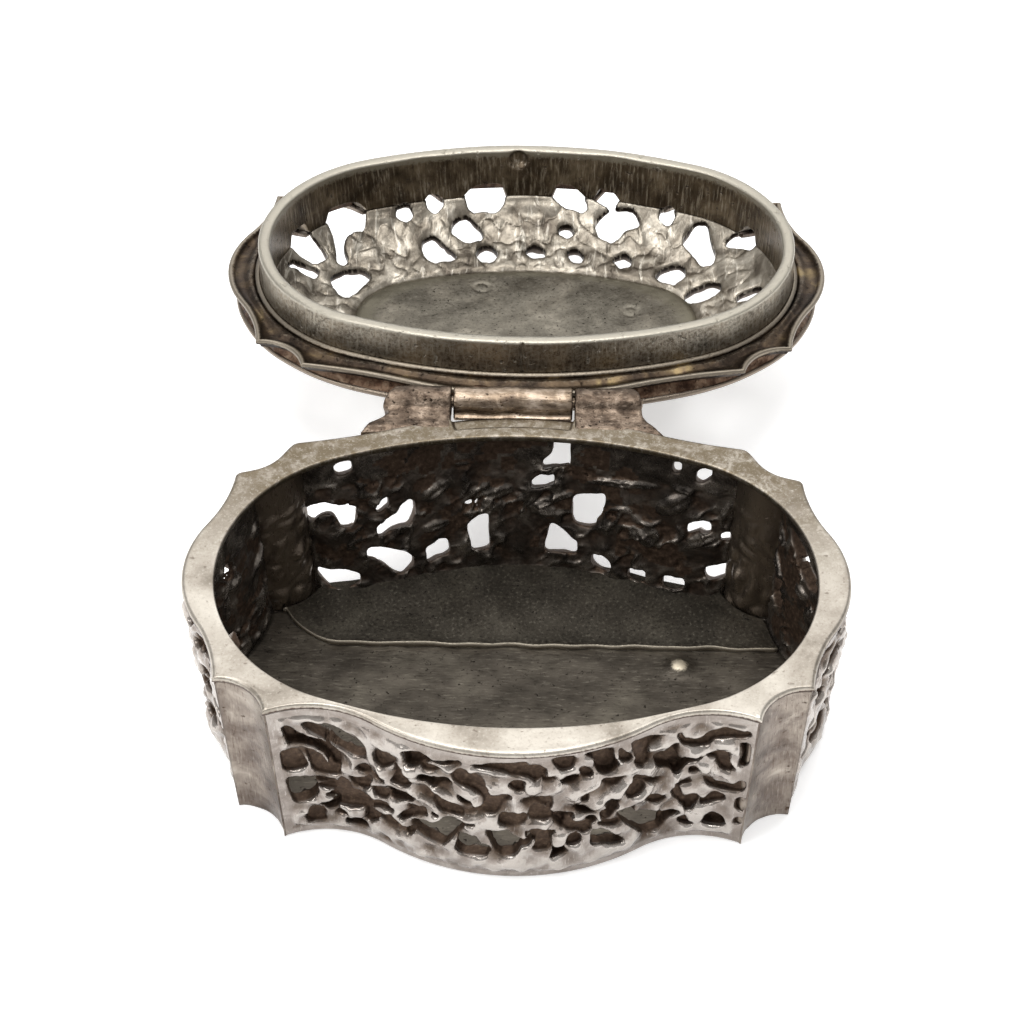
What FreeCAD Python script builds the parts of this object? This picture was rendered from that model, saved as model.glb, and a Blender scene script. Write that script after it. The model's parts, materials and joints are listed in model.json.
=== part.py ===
import FreeCAD
import Part
import Sketcher
import math
import os

V = FreeCAD.Vector
X_AXIS = V(1, 0, 0)
Y_AXIS = V(0, 1, 0)
Z_AXIS = V(0, 0, 1)

doc = FreeCAD.newDocument("pill_box")
os.makedirs("parts", exist_ok=True)

# Frame: origin at the middle of the base's underside, +X right, +Y to the hinge, +Z up.
# The lid is drawn closed and then swung open about the hinge pin.
DIMENSIONS = [
    # plan outline at the rim: serpentine front, back and ends, hollow fluted corners
    ("half_width", 25.0), ("half_depth", 17.3),
    ("front_corner_x", 17.9), ("front_corner_y", 13.7),
    ("end_corner_x", 21.8), ("end_corner_y", 10.6),
    ("front_bulge_radius", 18.2), ("front_bulge_half", 10.0),
    ("rear_bulge_radius", 28.0), ("rear_bulge_half", 9.0),
    ("end_bulge_radius", 9.5), ("end_bulge_half", 5.0),
    ("flute_depth", 1.0), ("base_taper", 0.96),
    # body
    ("body_height", 15.3), ("base_thickness", 0.8), ("wall", 1.4),
    ("rim_thickness", 0.5), ("sheet_thickness", 0.35), ("sheet_front_y", 5.6),
    ("sheet_left_x", -13.9), ("sheet_corner_radius", 5.5), ("sheet_gap", 0.1),
    # oval opening in the rim, and the collar that drops into it
    ("opening_half_length", 22.65), ("opening_half_width", 14.8),
    ("oval_end_radius", 13.0), ("collar_gap", 0.25),
    ("collar_drop", 3.0), ("collar_thickness", 1.0), ("collar_clearance", 0.1),
    # hinge
    ("hinge_y", 18.95), ("hinge_z", 15.0), ("knuckle_radius", 1.2),
    ("pin_radius", 0.45), ("bore_radius", 0.5), ("pin_overhang", 0.1),
    ("left_ear_outer", -10.5), ("left_ear_inner", -5.5),
    ("right_ear_inner", 4.2), ("right_ear_outer", 9.5),
    ("lid_knuckle_left", -5.4), ("lid_knuckle_right", 4.1),
    ("leaf_thickness", 0.8), ("ear_flare", 0.5), ("ear_reach_y", 13.5),
    # lid
    ("lid_gap", 0.05), ("flange_thickness", 0.8), ("bead_width", 0.4),
    ("band_height", 0.85), ("band_thickness", 1.0), ("ledge_thickness", 0.6),
    ("dome_rise", 3.5), ("dome_thickness", 0.7), ("dome_end_radius", 11.7),
    ("medallion_half_length", 14.5), ("medallion_half_width", 7.0),
    ("medallion_end_radius", 5.4), ("medallion_thickness", 0.6),
    ("lid_open_angle", 186.6),
]

sheet = doc.addObject("Spreadsheet::Sheet", "dims")
for row, (alias, value) in enumerate(DIMENSIONS, start=1):
    sheet.set("A%d" % row, alias)
    sheet.set("B%d" % row, str(value))
    sheet.setAlias("B%d" % row, alias)
doc.recompute()


def dim(alias):
    """Read one driving dimension from the sheet."""
    return float(getattr(sheet, alias))


lid_plane = dim("body_height") + dim("lid_gap")
band_base = lid_plane + dim("flange_thickness")
dome_base = band_base + dim("band_height")
hinge_point = V(0, dim("hinge_y"), dim("hinge_z"))
swing_open = FreeCAD.Placement(V(0, 0, 0), FreeCAD.Rotation(X_AXIS, -dim("lid_open_angle")), hinge_point)


# ---------------------------------------------------------------- plan geometry

def meet(centre_a, radius_a, centre_b, radius_b, near):
    """Crossing of two circles, the one nearest to a given point."""
    gap = centre_b - centre_a
    along = (gap.Length ** 2 + radius_a ** 2 - radius_b ** 2) / (2 * gap.Length)
    across = math.sqrt(max(radius_a ** 2 - along ** 2, 0.0))
    unit = V(gap).normalize()
    foot = centre_a + unit * along
    side = V(-unit.y, unit.x, 0) * across
    return min((foot + side, foot - side), key=lambda point: (point - near).Length)


class Serpentine:
    """Half of one side: a bulging arc at the middle, then a hollow arc out to the corner."""

    def __init__(self, apex, bulge_radius, bulge_half, corner):
        self.apex = apex
        self.bulge_radius = bulge_radius
        angle = math.asin(bulge_half / bulge_radius)
        self.normal = V(math.sin(angle), math.cos(angle), 0)
        self.turn = V(0, apex - bulge_radius, 0) + self.normal * bulge_radius
        span = self.turn - corner
        self.hollow_radius = -span.Length ** 2 / (2 * span.dot(self.normal))
        self.hollow_centre = self.turn + self.normal * self.hollow_radius

    def points(self, inset, corner):
        """Apex, middle of the bulge, turning point, middle of the hollow and corner."""
        top = V(0, self.apex - inset, 0)
        centre = V(0, self.apex - self.bulge_radius, 0)
        half_normal = (Y_AXIS + self.normal).normalize()
        bulge_middle = centre + half_normal * (self.bulge_radius - inset)
        turn = self.turn - self.normal * inset
        chord = (turn + corner) * 0.5 - self.hollow_centre
        hollow_middle = self.hollow_centre + chord.normalize() * (self.hollow_radius + inset)
        return [top, bulge_middle, turn, hollow_middle, corner]


def swap(point):
    return V(point.y, point.x, 0)


def scaled(point, factors):
    return V(point.x * factors.x, point.y * factors.y, point.z * factors.z)


front_corner = V(dim("front_corner_x"), dim("front_corner_y"), 0)
end_corner = V(dim("end_corner_x"), dim("end_corner_y"), 0)
front_side = Serpentine(dim("half_depth"), dim("front_bulge_radius"),
                        dim("front_bulge_half"), front_corner)
rear_side = Serpentine(dim("half_depth"), dim("rear_bulge_radius"),
                       dim("rear_bulge_half"), front_corner)
end_side = Serpentine(dim("half_width"), dim("end_bulge_radius"),
                      dim("end_bulge_half"), swap(end_corner))

flute_chord = end_corner - front_corner
flute_radius = ((flute_chord.Length / 2) ** 2 + dim("flute_depth") ** 2) / (2 * dim("flute_depth"))
flute_outward = V(-flute_chord.y, flute_chord.x, 0).normalize()
flute_centre = (front_corner + end_corner) * 0.5 + flute_outward * (flute_radius - dim("flute_depth"))


def corners(inset, long_side=front_side):
    """The two arrises beside a fluted corner, at a given inset from the outside."""
    if inset == 0:
        return front_corner, end_corner
    flute = flute_radius + inset
    first = meet(long_side.hollow_centre, long_side.hollow_radius + inset,
                 flute_centre, flute, front_corner)
    second = meet(swap(end_side.hollow_centre), end_side.hollow_radius + inset,
                  flute_centre, flute, end_corner)
    return first, second


def flute_middle(inset):
    return flute_centre - flute_outward * (flute_radius + inset)


def side_curve(side, inset):
    """Arcs of one whole side as (start, middle, end), from its left arris to its right one."""
    long_side = rear_side if side == "rear" else front_side
    first, second = corners(inset, long_side)
    sign = -1 if side in ("front", "left") else 1
    if side in ("front", "rear"):
        apex, bulge, turn, hollow, corner = long_side.points(inset, first)
        flip, place = V(-1, 1, 1), V(1, sign, 1)
    else:
        apex, bulge, turn, hollow, corner = map(swap, end_side.points(inset, swap(second)))
        flip, place = V(1, -1, 1), V(sign, 1, 1)
    arcs = [[scaled(p, flip) for p in (corner, hollow, turn)],
            [scaled(turn, flip), apex, turn], [turn, hollow, corner]]
    return [tuple(scaled(p, place) for p in arc) for arc in arcs]


def flute_curve(corner_signs, inset):
    sx, sy = corner_signs
    first, second = corners(inset, rear_side if sy > 0 else front_side)
    return [tuple(V(sx * p.x, sy * p.y, 0) for p in (first, flute_middle(inset), second))]


def backwards(arcs):
    return [arc[::-1] for arc in reversed(arcs)]


def strip(curve, inner_curve):
    """Closed strip between an outer curve and the matching inner one, mitred at both ends."""
    outer = curve
    inner = backwards(inner_curve)
    return outer + [(outer[-1][-1], inner[0][0])] + inner + [(inner[-1][-1], outer[0][0])]


def outline(inset):
    """The whole outline, anticlockwise from the front's left arris."""
    return (side_curve("front", inset) + flute_curve((1, -1), inset)
            + side_curve("right", inset) + backwards(flute_curve((1, 1), inset))
            + backwards(side_curve("rear", inset)) + flute_curve((-1, 1), inset)
            + backwards(side_curve("left", inset)) + backwards(flute_curve((-1, -1), inset)))


def oval(half_length, half_width, end_radius):
    """Four-centred oval: two end arcs and two flatter side arcs, tangent where they meet."""
    end_centre = half_length - end_radius
    side_radius = (end_centre ** 2 + half_width ** 2 - end_radius ** 2) / (2 * (half_width - end_radius))
    drop = side_radius - half_width
    join = V(0, -drop, 0) + V(end_centre, drop, 0).normalize() * side_radius
    nw, ne = V(-join.x, join.y, 0), join
    sw, se = V(-join.x, -join.y, 0), V(join.x, -join.y, 0)
    return [(se, V(half_length, 0, 0), ne), (ne, V(0, half_width, 0), nw),
            (nw, V(-half_length, 0, 0), sw), (sw, V(0, -half_width, 0), se)]


def opening_oval(inset):
    return oval(dim("opening_half_length") - inset, dim("opening_half_width") - inset,
                dim("oval_end_radius") - inset)


# ---------------------------------------------------------------- solids

def wire(arcs, z, factor=1.0):
    edges = []
    for arc in arcs:
        points = [V(p.x * factor, p.y * factor, z) for p in arc]
        if len(points) == 3:
            edges.append(Part.Arc(*points).toShape())
        else:
            edges.append(Part.makeLine(*points))
    return Part.Wire(edges)


def prism(arcs, low, high):
    return Part.Face(wire(arcs, low)).extrude(V(0, 0, high - low))


def taper_at(z):
    """Plan scale of the body at height z: narrower at the foot, full size at the rim."""
    foot = dim("base_taper")
    return foot + (1 - foot) * z / dim("body_height")


def tapered(arcs, low, high):
    sections = [wire(arcs, z, taper_at(z)) for z in (low, high)]
    return Part.makeLoft(sections, True, True)


def feature(name, shape, placement=None):
    node = doc.addObject("Part::Feature", name)
    node.Label = name
    node.Shape = shape.removeSplitter() if shape.ShapeType == "Solid" else shape
    if placement is not None:
        node.Placement = placement
    return node


def pierced(panel, openings, across, outward):
    """Cut leaf-like openings: each is place along, height, length, width and tilt."""
    for along, height, length, width, tilt in openings:
        face = Part.Face(Part.Wire(Part.Ellipse(V(0, 0, 0), length / 2, width / 2).toShape()))
        upright = FreeCAD.Rotation(across, Z_AXIS, across.cross(Z_AXIS), "XZY")
        face.Placement = FreeCAD.Placement(across * along + Z_AXIS * height,
                                           upright * FreeCAD.Rotation(Z_AXIS, tilt))
        panel = panel.cut(face.extrude(outward * dim("half_width") * 2))
    return panel


# ---------------------------------------------------------------- body

floor_top = dim("base_thickness")
panel_high = dim("body_height") - dim("rim_thickness")
wall = dim("wall")

feature("base_plate", tapered(outline(wall), 0, floor_top))

rim = tapered(outline(0), panel_high, dim("body_height"))
feature("rim_plate", rim.cut(prism(opening_oval(0), 0, dim("body_height") + 1)))

sheet_box = Part.makeBox(2 * dim("half_width"), 2 * dim("half_depth"), 10,
                         V(dim("sheet_left_x") - dim("sheet_corner_radius"), dim("sheet_front_y"), 0))
front_left = [edge for edge in sheet_box.Edges
              if edge.BoundBox.ZLength > 9 and edge.BoundBox.XMin < 0 and edge.BoundBox.YMax < 10]
sheet_area = sheet_box.makeFillet(dim("sheet_corner_radius"), front_left)
sheet_top = floor_top + dim("sheet_thickness")
sheet_blank = tapered(outline(wall + dim("sheet_gap")), floor_top, sheet_top)
feature("rear_floor_sheet", sheet_blank.common(sheet_area))

FRONT_OPENINGS = [
    (-13.6, 11.2, 3.4, 1.5, 25), (-10.2, 8.2, 3.2, 1.4, -40), (-13.4, 5.2, 3.0, 1.5, 60),
    (-7.6, 11.6, 3.6, 1.3, -15), (-5.6, 6.2, 3.4, 1.5, 70), (-8.6, 3.8, 3.0, 1.3, 10),
    (-2.6, 10.2, 3.2, 1.5, 40), (-1.8, 4.0, 2.6, 1.4, -30), (1.2, 7.4, 3.0, 1.3, 80),
    (2.6, 11.6, 3.2, 1.3, 10), (4.0, 4.2, 3.0, 1.5, 35), (6.6, 8.6, 3.4, 1.4, -55),
    (8.4, 4.6, 2.8, 1.3, 15), (9.6, 11.6, 3.4, 1.4, -20), (12.2, 7.6, 3.2, 1.5, 65),
    (13.8, 11.2, 2.8, 1.3, -35), (13.4, 4.0, 3.0, 1.4, -10),
]
REAR_OPENINGS = [
    (-14.8, 9.6, 3.2, 1.6, 20), (-10.2, 8.6, 4.2, 1.3, -45), (-10.5, 4.4, 3.2, 1.8, 10),
    (-6.8, 4.0, 2.0, 1.6, 60), (-3.4, 4.8, 3.2, 1.4, 80), (-14.0, 4.2, 3.0, 1.3, -10),
    (2.7, 11.9, 2.4, 1.7, 55), (1.8, 9.3, 1.8, 0.9, 0), (5.6, 7.4, 3.0, 2.1, 50),
    (3.4, 4.2, 2.5, 1.9, 0), (7.4, 4.0, 1.9, 1.0, 30), (-6.4, 10.4, 2.6, 1.3, 30),
    (11.0, 4.0, 2.0, 1.0, -20), (14.6, 4.4, 2.2, 1.3, 15), (14.2, 8.8, 1.8, 1.0, 20),
    (10.2, 9.6, 2.8, 1.3, -60), (13.2, 11.8, 2.0, 1.0, 0),
]
END_OPENINGS = [
    (-7.4, 9.8, 3.0, 1.3, 60), (-6.8, 4.6, 2.8, 1.4, -30), (-3.6, 11.4, 2.8, 1.2, -10),
    (-2.4, 6.6, 3.2, 1.4, 75), (0.6, 10.4, 2.8, 1.3, 40), (1.0, 4.0, 2.8, 1.3, 0),
    (3.8, 7.6, 3.0, 1.4, -60), (4.6, 11.2, 2.6, 1.2, 15), (7.2, 9.2, 2.8, 1.3, 80),
    (6.8, 4.4, 2.6, 1.3, 30),
]
SIDES = (("front", FRONT_OPENINGS, X_AXIS, -Y_AXIS), ("rear", REAR_OPENINGS, X_AXIS, Y_AXIS),
         ("left", END_OPENINGS, Y_AXIS, -X_AXIS), ("right", END_OPENINGS, -Y_AXIS, X_AXIS))
# The walls are relieved inside, so that the lid's collar drops past their hollows.
collar_room = prism(opening_oval(dim("collar_gap") - dim("collar_clearance")),
                    lid_plane - dim("collar_drop") - dim("collar_clearance"), dim("body_height"))
for side, openings, across, outward in SIDES:
    blank = tapered(strip(side_curve(side, 0), side_curve(side, wall)), 0, panel_high)
    feature(side + "_panel", pierced(blank.cut(collar_room), openings, across, outward))

for label, signs in (("front_left", (-1, -1)), ("front_right", (1, -1)),
                     ("rear_left", (-1, 1)), ("rear_right", (1, 1))):
    flute = strip(flute_curve(signs, 0), flute_curve(signs, wall))
    feature(label + "_flute", tapered(flute, 0, panel_high))


# ---------------------------------------------------------------- hinge

def bind(thing, **expressions):
    """Bind properties to the sheet; a double underscore stands for a dot."""
    for path, expression in expressions.items():
        thing.setExpression(path.replace("__", "."), expression)
    return thing


def hinge_cylinder(name, radius, low, high):
    """Cylinder along the hinge axis between two X positions."""
    cylinder = doc.addObject("Part::Cylinder", name)
    cylinder.Placement.Rotation = FreeCAD.Rotation(Y_AXIS, 90)
    return bind(cylinder, Radius=radius, Height="(%s) - (%s)" % (high, low), Placement__Base__x=low,
                Placement__Base__y="dims.hinge_y", Placement__Base__z="dims.hinge_z")


def combine(kind, name, base, tool):
    result = doc.addObject(kind, name)
    result.Base = base
    result.Tool = tool
    return result


def hinge_leaf(name, low, high, rim_low, rim_high, bottom, trim_shape):
    """Rolled knuckle with its leaf, the leaf trimmed where it is soldered to its wall."""
    top = "%s + dims.leaf_thickness" % bottom
    leaf = bind(doc.addObject("Part::Wedge", name + "_leaf"),
                Xmin=rim_low, Xmax=rim_high, X2min=low, X2max=high,
                Ymin="dims.ear_reach_y", Ymax="dims.hinge_y",
                Zmin=bottom, Z2min=bottom, Zmax=top, Z2max=top)
    barrel = hinge_cylinder(name + "_barrel", "dims.knuckle_radius", low, high)
    bore = hinge_cylinder(name + "_bore", "dims.bore_radius", low + " - 1", high + " + 1")
    rolled = combine("Part::Fuse", name + "_rolled", barrel, leaf)
    bored = combine("Part::Cut", name + "_bored", rolled, bore)
    node = combine("Part::Cut", name, bored, feature(name + "_trim", trim_shape))
    node.Label = name
    return node


rim_solid = prism(outline(0), panel_high - 1, dim("body_height") + 1)
lid_solid = prism(outline(0), lid_plane, lid_plane + 2)
ear_bottom = "dims.body_height - dims.leaf_thickness"
left_ear = hinge_leaf("left_hinge_ear", "dims.left_ear_outer", "dims.left_ear_inner",
                      "dims.left_ear_outer - dims.ear_flare", "dims.left_ear_inner",
                      ear_bottom, rim_solid)
right_ear = hinge_leaf("right_hinge_ear", "dims.right_ear_inner", "dims.right_ear_outer",
                       "dims.right_ear_inner", "dims.right_ear_outer + dims.ear_flare",
                       ear_bottom, rim_solid)
lid_knuckle = hinge_leaf("lid_hinge_knuckle", "dims.lid_knuckle_left", "dims.lid_knuckle_right",
                         "dims.lid_knuckle_left", "dims.lid_knuckle_right",
                         "dims.body_height + dims.lid_gap", lid_solid)
lid_knuckle.Placement = swing_open

hinge_pin = hinge_cylinder("hinge_pin", "dims.pin_radius",
                           "dims.left_ear_outer - dims.pin_overhang",
                           "dims.right_ear_outer + dims.pin_overhang")
hinge_pin.Label = "hinge_pin"


# ---------------------------------------------------------------- lid

def oval_sketch(body, name, aliases, inset, height):
    """Four-centred oval at a given height; every size follows the sheet."""
    length, width, radius = ["(dims.%s - (%s))" % (alias, inset) for alias in aliases]
    end = "(%s - %s)" % (length, radius)
    drop = "((%s^2 + %s^2 - %s^2) / (2 * (%s - %s)) - %s)" % (end, width, radius, width, radius, width)
    sketch = body.newObject("Sketcher::SketchObject", name)
    plane = next(f for f in body.Origin.OriginFeatures if f.Role == "XY_Plane")
    sketch.AttachmentSupport = [(plane, "")]
    sketch.MapMode = "FlatFace"
    bind(sketch, AttachmentOffset__Base__z=height)
    sketch.addGeometry([Part.Arc(*arc) for arc in oval(*[dim(alias) for alias in aliases])], False)
    right, top, left, bottom = range(4)
    for arc in range(4):
        sketch.addConstraint(Sketcher.Constraint("Tangent", arc, 2, (arc + 1) % 4, 1))
    for arc in (right, left):
        sketch.addConstraint(Sketcher.Constraint("PointOnObject", arc, 3, -1))
    sketch.addConstraint(Sketcher.Constraint("Equal", right, left))
    sized = ((("Radius", right), radius), (("DistanceX", -1, 1, right, 3), end),
             (("DistanceX", left, 3, -1, 1), end), (("DistanceY", top, 3, -1, 1), drop),
             (("DistanceY", -1, 1, bottom, 3), drop))
    for arguments, expression in sized:
        index = sketch.addConstraint(Sketcher.Constraint(*arguments, 1.0))
        sketch.setExpression("Constraints[%d]" % index, expression)
    return sketch


def oval_ring(label, outer_inset, inner_inset, low, high):
    """Upright ring between two insets of the rim's oval."""
    aliases = ("opening_half_length", "opening_half_width", "oval_end_radius")
    body = doc.addObject("PartDesign::Body", label)
    body.Label = label
    outer = oval_sketch(body, label + "_outside", aliases, outer_inset, low)
    doc.recompute()
    pad = body.newObject("PartDesign::Pad", label + "_ring")
    pad.Profile = outer
    bind(pad, Length="(%s) - (%s)" % (high, low))
    inner = oval_sketch(body, label + "_inside", aliases, inner_inset, low)
    doc.recompute()
    pocket = body.newObject("PartDesign::Pocket", label + "_bore")
    pocket.Profile = inner
    pocket.Reversed = True
    bind(pocket, Length="(%s) - (%s)" % (high, low))
    doc.recompute()
    return body


plane_height = "dims.body_height + dims.lid_gap"
dome_height = plane_height + " + dims.flange_thickness + dims.band_height"
collar = oval_ring("lid_collar", "dims.collar_gap", "dims.collar_gap + dims.collar_thickness",
                   plane_height + " - dims.collar_drop", dome_height)
collar.Placement = swing_open

bead = oval_ring("collar_bead", "dims.collar_gap - dims.bead_width", "dims.collar_gap", plane_height,
                 dome_height)
bead.Placement = swing_open

bead_oval = opening_oval(dim("collar_gap") - dim("bead_width"))
flange = prism(outline(0), lid_plane, band_base).cut(prism(bead_oval, 0, band_base + 1))
feature("lid_flange", flange, swing_open)

band = prism(outline(0), band_base, dome_base)
for hollow in (outline(dim("band_thickness")), bead_oval):
    band = band.cut(prism(hollow, 0, dome_base + 1))
feature("lid_band", band, swing_open)

DOME_OPENINGS = [
    (-19.0, -4.2, 2.2, 1.3, 30), (-15.8, -4.2, 3.2, 2.4, 60), (-18.3, -7.4, 3.6, 1.8, 80),
    (-14.6, -8.6, 4.2, 2.0, 70), (-10.8, -11.2, 1.9, 1.0, 80), (-7.8, -9.0, 3.0, 1.7, -30),
    (-5.4, -11.3, 2.2, 1.8, 0), (-3.6, -8.8, 1.6, 1.3, 0), (0.6, -9.2, 2.4, 1.2, 20),
    (4.1, -8.9, 1.5, 1.1, 70), (3.4, -11.6, 2.0, 1.2, -40), (7.8, -10.6, 3.6, 1.9, 15),
    (8.4, -7.9, 1.7, 1.0, 40), (12.4, -6.1, 2.6, 1.3, -15), (12.2, -10.0, 2.2, 1.1, 75),
    (15.2, -8.2, 3.2, 1.7, 60), (15.4, -3.7, 3.0, 1.7, 40), (18.6, -6.2, 2.4, 1.4, 70),
    (19.0, -1.8, 2.0, 1.2, 30), (19.0, 2.6, 2.8, 1.4, 75), (16.0, 5.4, 3.2, 1.6, -50),
    (17.4, 8.6, 2.0, 1.2, 20), (12.0, 7.4, 3.0, 1.5, -10), (12.6, 10.4, 2.2, 1.2, -35),
    (8.0, 9.2, 3.0, 1.5, 30), (4.2, 10.6, 2.6, 1.5, -60), (0.4, 9.4, 3.0, 1.5, 10),
    (-3.6, 10.6, 2.6, 1.5, 60), (-7.4, 9.2, 3.0, 1.5, -30), (-11.2, 10.0, 2.6, 1.4, 20),
    (-12.6, 6.8, 3.0, 1.5, 35), (-16.0, 8.2, 2.6, 1.4, 60), (-16.4, 4.2, 3.0, 1.6, 80),
    (-19.2, 1.6, 2.8, 1.4, 85),
]
# Profile of the dome: share of the way from its foot to the medallion, and share of the rise.
DOME_PROFILE = ((0.0, 0.0), (0.16, 0.4), (0.5, 0.77), (1.0, 1.0))


def dome_solid(foot, top, rise):
    sections = []
    for inward, upward in DOME_PROFILE:
        sizes = [a + (b - a) * inward for a, b in zip(foot, top)]
        sections.append(wire(oval(*sizes), dome_base + rise * upward))
    return Part.makeLoft(sections, True, False)


def foot_oval(inset):
    sizes = dim("opening_half_length"), dim("opening_half_width"), dim("oval_end_radius")
    return [size - dim("collar_gap") - inset for size in sizes]


medallion_sizes = [dim("medallion_half_length"), dim("medallion_half_width"), dim("medallion_end_radius")]
skin = dim("dome_thickness")
inside = dome_solid(foot_oval(dim("collar_thickness")), medallion_sizes, dim("dome_rise"))
outer_top = [size + skin * 0.3 for size in medallion_sizes]
outside = dome_solid(foot_oval(dim("collar_thickness") - skin), outer_top, dim("dome_rise") + skin)
ledge = prism(outline(0), dome_base, dome_base + dim("ledge_thickness"))
seat = prism(oval(*medallion_sizes), dome_base, dome_base + dim("dome_rise") + skin + 1)
dome = outside.fuse(ledge).cut(inside).cut(seat)
for x, y, length, width, tilt in DOME_OPENINGS:
    face = Part.Face(Part.Wire(Part.Ellipse(V(0, 0, 0), length / 2, width / 2).toShape()))
    face.Placement = FreeCAD.Placement(V(x, y, 0), FreeCAD.Rotation(Z_AXIS, tilt))
    dome = dome.cut(face.extrude(Z_AXIS * 40))
feature("lid_dome", dome, swing_open)

medallion = doc.addObject("PartDesign::Body", "lid_medallion")
medallion.Label = "lid_medallion"
medallion_sketch = oval_sketch(medallion, "medallion_outline",
                               ("medallion_half_length", "medallion_half_width", "medallion_end_radius"),
                               "0", dome_height + " + dims.dome_rise")
doc.recompute()
medallion_pad = medallion.newObject("PartDesign::Pad", "medallion_plate")
medallion_pad.Profile = medallion_sketch
bind(medallion_pad, Length="dims.medallion_thickness")
medallion.Placement = swing_open
doc.recompute()


# ---------------------------------------------------------------- checks and export

NODES = ["base_plate", "rear_floor_sheet", "rim_plate", "front_panel", "rear_panel", "left_panel",
         "right_panel", "front_left_flute", "front_right_flute", "rear_left_flute",
         "rear_right_flute", "left_hinge_ear", "right_hinge_ear", "hinge_pin", "lid_hinge_knuckle",
         "lid_flange", "lid_band", "lid_collar", "collar_bead", "lid_dome", "lid_medallion"]

for item in doc.Objects:
    if "Invalid" in item.State or "Error" in item.State:
        raise RuntimeError("%s did not compute: %s" % (item.Name, item.State))
for name in NODES:
    node = doc.getObjectsByLabel(name)[0]
    if node.Shape.isNull() or not node.Shape.isValid() or node.Shape.Volume <= 0:
        raise RuntimeError("%s has no valid solid" % name)
    node.Shape.exportStep("parts/%s.step" % name)
    box = node.Shape.BoundBox
    print("%-20s solids %d volume %8.2f  z %.2f to %.2f" % (
        name, len(node.Shape.Solids), node.Shape.Volume, box.ZMin, box.ZMax))
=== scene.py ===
"""Hinged silver pill box, lid thrown back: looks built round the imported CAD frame.

Every piece is drawn in millimetres and turned into metres when its mesh is made. Sheets of pierced
relief are modelled as a solid field (sheet, less the openings, plus raised ornament), meshed with
surface nets, and then bent on to the box.
"""
import json
import math

import bpy
import numpy as np
from mathutils import Matrix, Vector


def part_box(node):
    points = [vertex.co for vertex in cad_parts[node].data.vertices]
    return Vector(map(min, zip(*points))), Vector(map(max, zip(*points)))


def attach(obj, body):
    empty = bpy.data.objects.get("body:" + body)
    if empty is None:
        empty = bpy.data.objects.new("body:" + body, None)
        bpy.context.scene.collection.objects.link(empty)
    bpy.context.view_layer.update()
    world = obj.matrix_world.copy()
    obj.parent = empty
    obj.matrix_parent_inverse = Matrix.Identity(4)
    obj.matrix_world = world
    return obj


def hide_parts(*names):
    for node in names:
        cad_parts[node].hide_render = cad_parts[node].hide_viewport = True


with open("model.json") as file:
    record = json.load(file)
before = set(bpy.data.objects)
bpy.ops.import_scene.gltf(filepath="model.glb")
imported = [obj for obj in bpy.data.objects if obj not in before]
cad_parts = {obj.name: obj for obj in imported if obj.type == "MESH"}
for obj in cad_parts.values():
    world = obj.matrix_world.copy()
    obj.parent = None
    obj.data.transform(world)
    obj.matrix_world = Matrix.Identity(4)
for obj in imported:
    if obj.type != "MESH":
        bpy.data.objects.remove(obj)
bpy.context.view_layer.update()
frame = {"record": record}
MM = 0.001


def corners_mm(node):
    """Lowest and highest corner of a CAD node, in millimetres."""
    return [np.array(corner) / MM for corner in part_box(node)]


# ---------------------------------------------------------------- sizes from the frame

RIM_LOW, RIM_HIGH = corners_mm("rim_plate")
HALF_WIDTH, HALF_DEPTH = RIM_HIGH[0], RIM_HIGH[1]
RIM_TOP, RIM_UNDER = RIM_HIGH[2], RIM_LOW[2]
FLOOR_TOP = corners_mm("base_plate")[1][2]
SHEET_TOP = corners_mm("rear_floor_sheet")[1][2]
SHEET_FRONT = corners_mm("rear_floor_sheet")[0][1]
HINGE = next(j for j in frame["record"]["behaviour"]["joints"] if j["name"] == "lid_hinge")
HINGE_POINT = np.array(HINGE["pos_m"]) / MM
OPEN_ANGLE = math.radians(HINGE["range_deg"][1])
PIN_LOW, PIN_HIGH = corners_mm("hinge_pin")
EAR_SPANS = {side: (corners_mm(side + "_hinge_ear")[0][0], corners_mm(side + "_hinge_ear")[1][0])
             for side in ("left", "right")}
KNUCKLE_LOW, KNUCKLE_HIGH = corners_mm("lid_hinge_knuckle")

# Plan of the box, as in the CAD: corner arrises, bulge radius and half width of each side.
FRONT_CORNER = np.array([17.9, 13.7])
END_CORNER = np.array([21.8, 10.6])
FRONT_BULGE = (18.2, 10.0)
REAR_BULGE = (28.0, 9.0)
END_BULGE = (9.5, 5.0)
FLUTE_DEPTH = 1.0
BASE_TAPER = 0.96
WALL = 1.4
# Oval mouth: half length, half width and end radius.
MOUTH = (22.65, 14.8, 13.0)
COLLAR_GAP = 0.25
COLLAR_DROP = 3.0
COLLAR_THICKNESS = 1.0
BEAD_WIDTH = 0.4
LID_PLANE = RIM_TOP + 0.05
FLANGE_THICKNESS = 0.8
BAND_HEIGHT = 0.85
LEDGE_THICKNESS = 0.6
BAND_TOP = LID_PLANE + FLANGE_THICKNESS + BAND_HEIGHT
DOME_RISE = 3.5
DOME_THICKNESS = 0.7
MEDALLION = (14.5, 7.0, 5.4)
DOME_FOOT = tuple(size - COLLAR_GAP - COLLAR_THICKNESS for size in MOUTH)
KNUCKLE_RADIUS = 1.2


# ---------------------------------------------------------------- small helpers

def smooth_step(x, low, high):
    t = np.clip((x - low) / (high - low), 0.0, 1.0)
    return t * t * (3 - 2 * t)


def smooth_max(a, b, k):
    return 0.5 * (a + b + np.sqrt((a - b) ** 2 + k * k))


def smooth_min(a, b, k):
    return -smooth_max(-a, -b, k)


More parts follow.
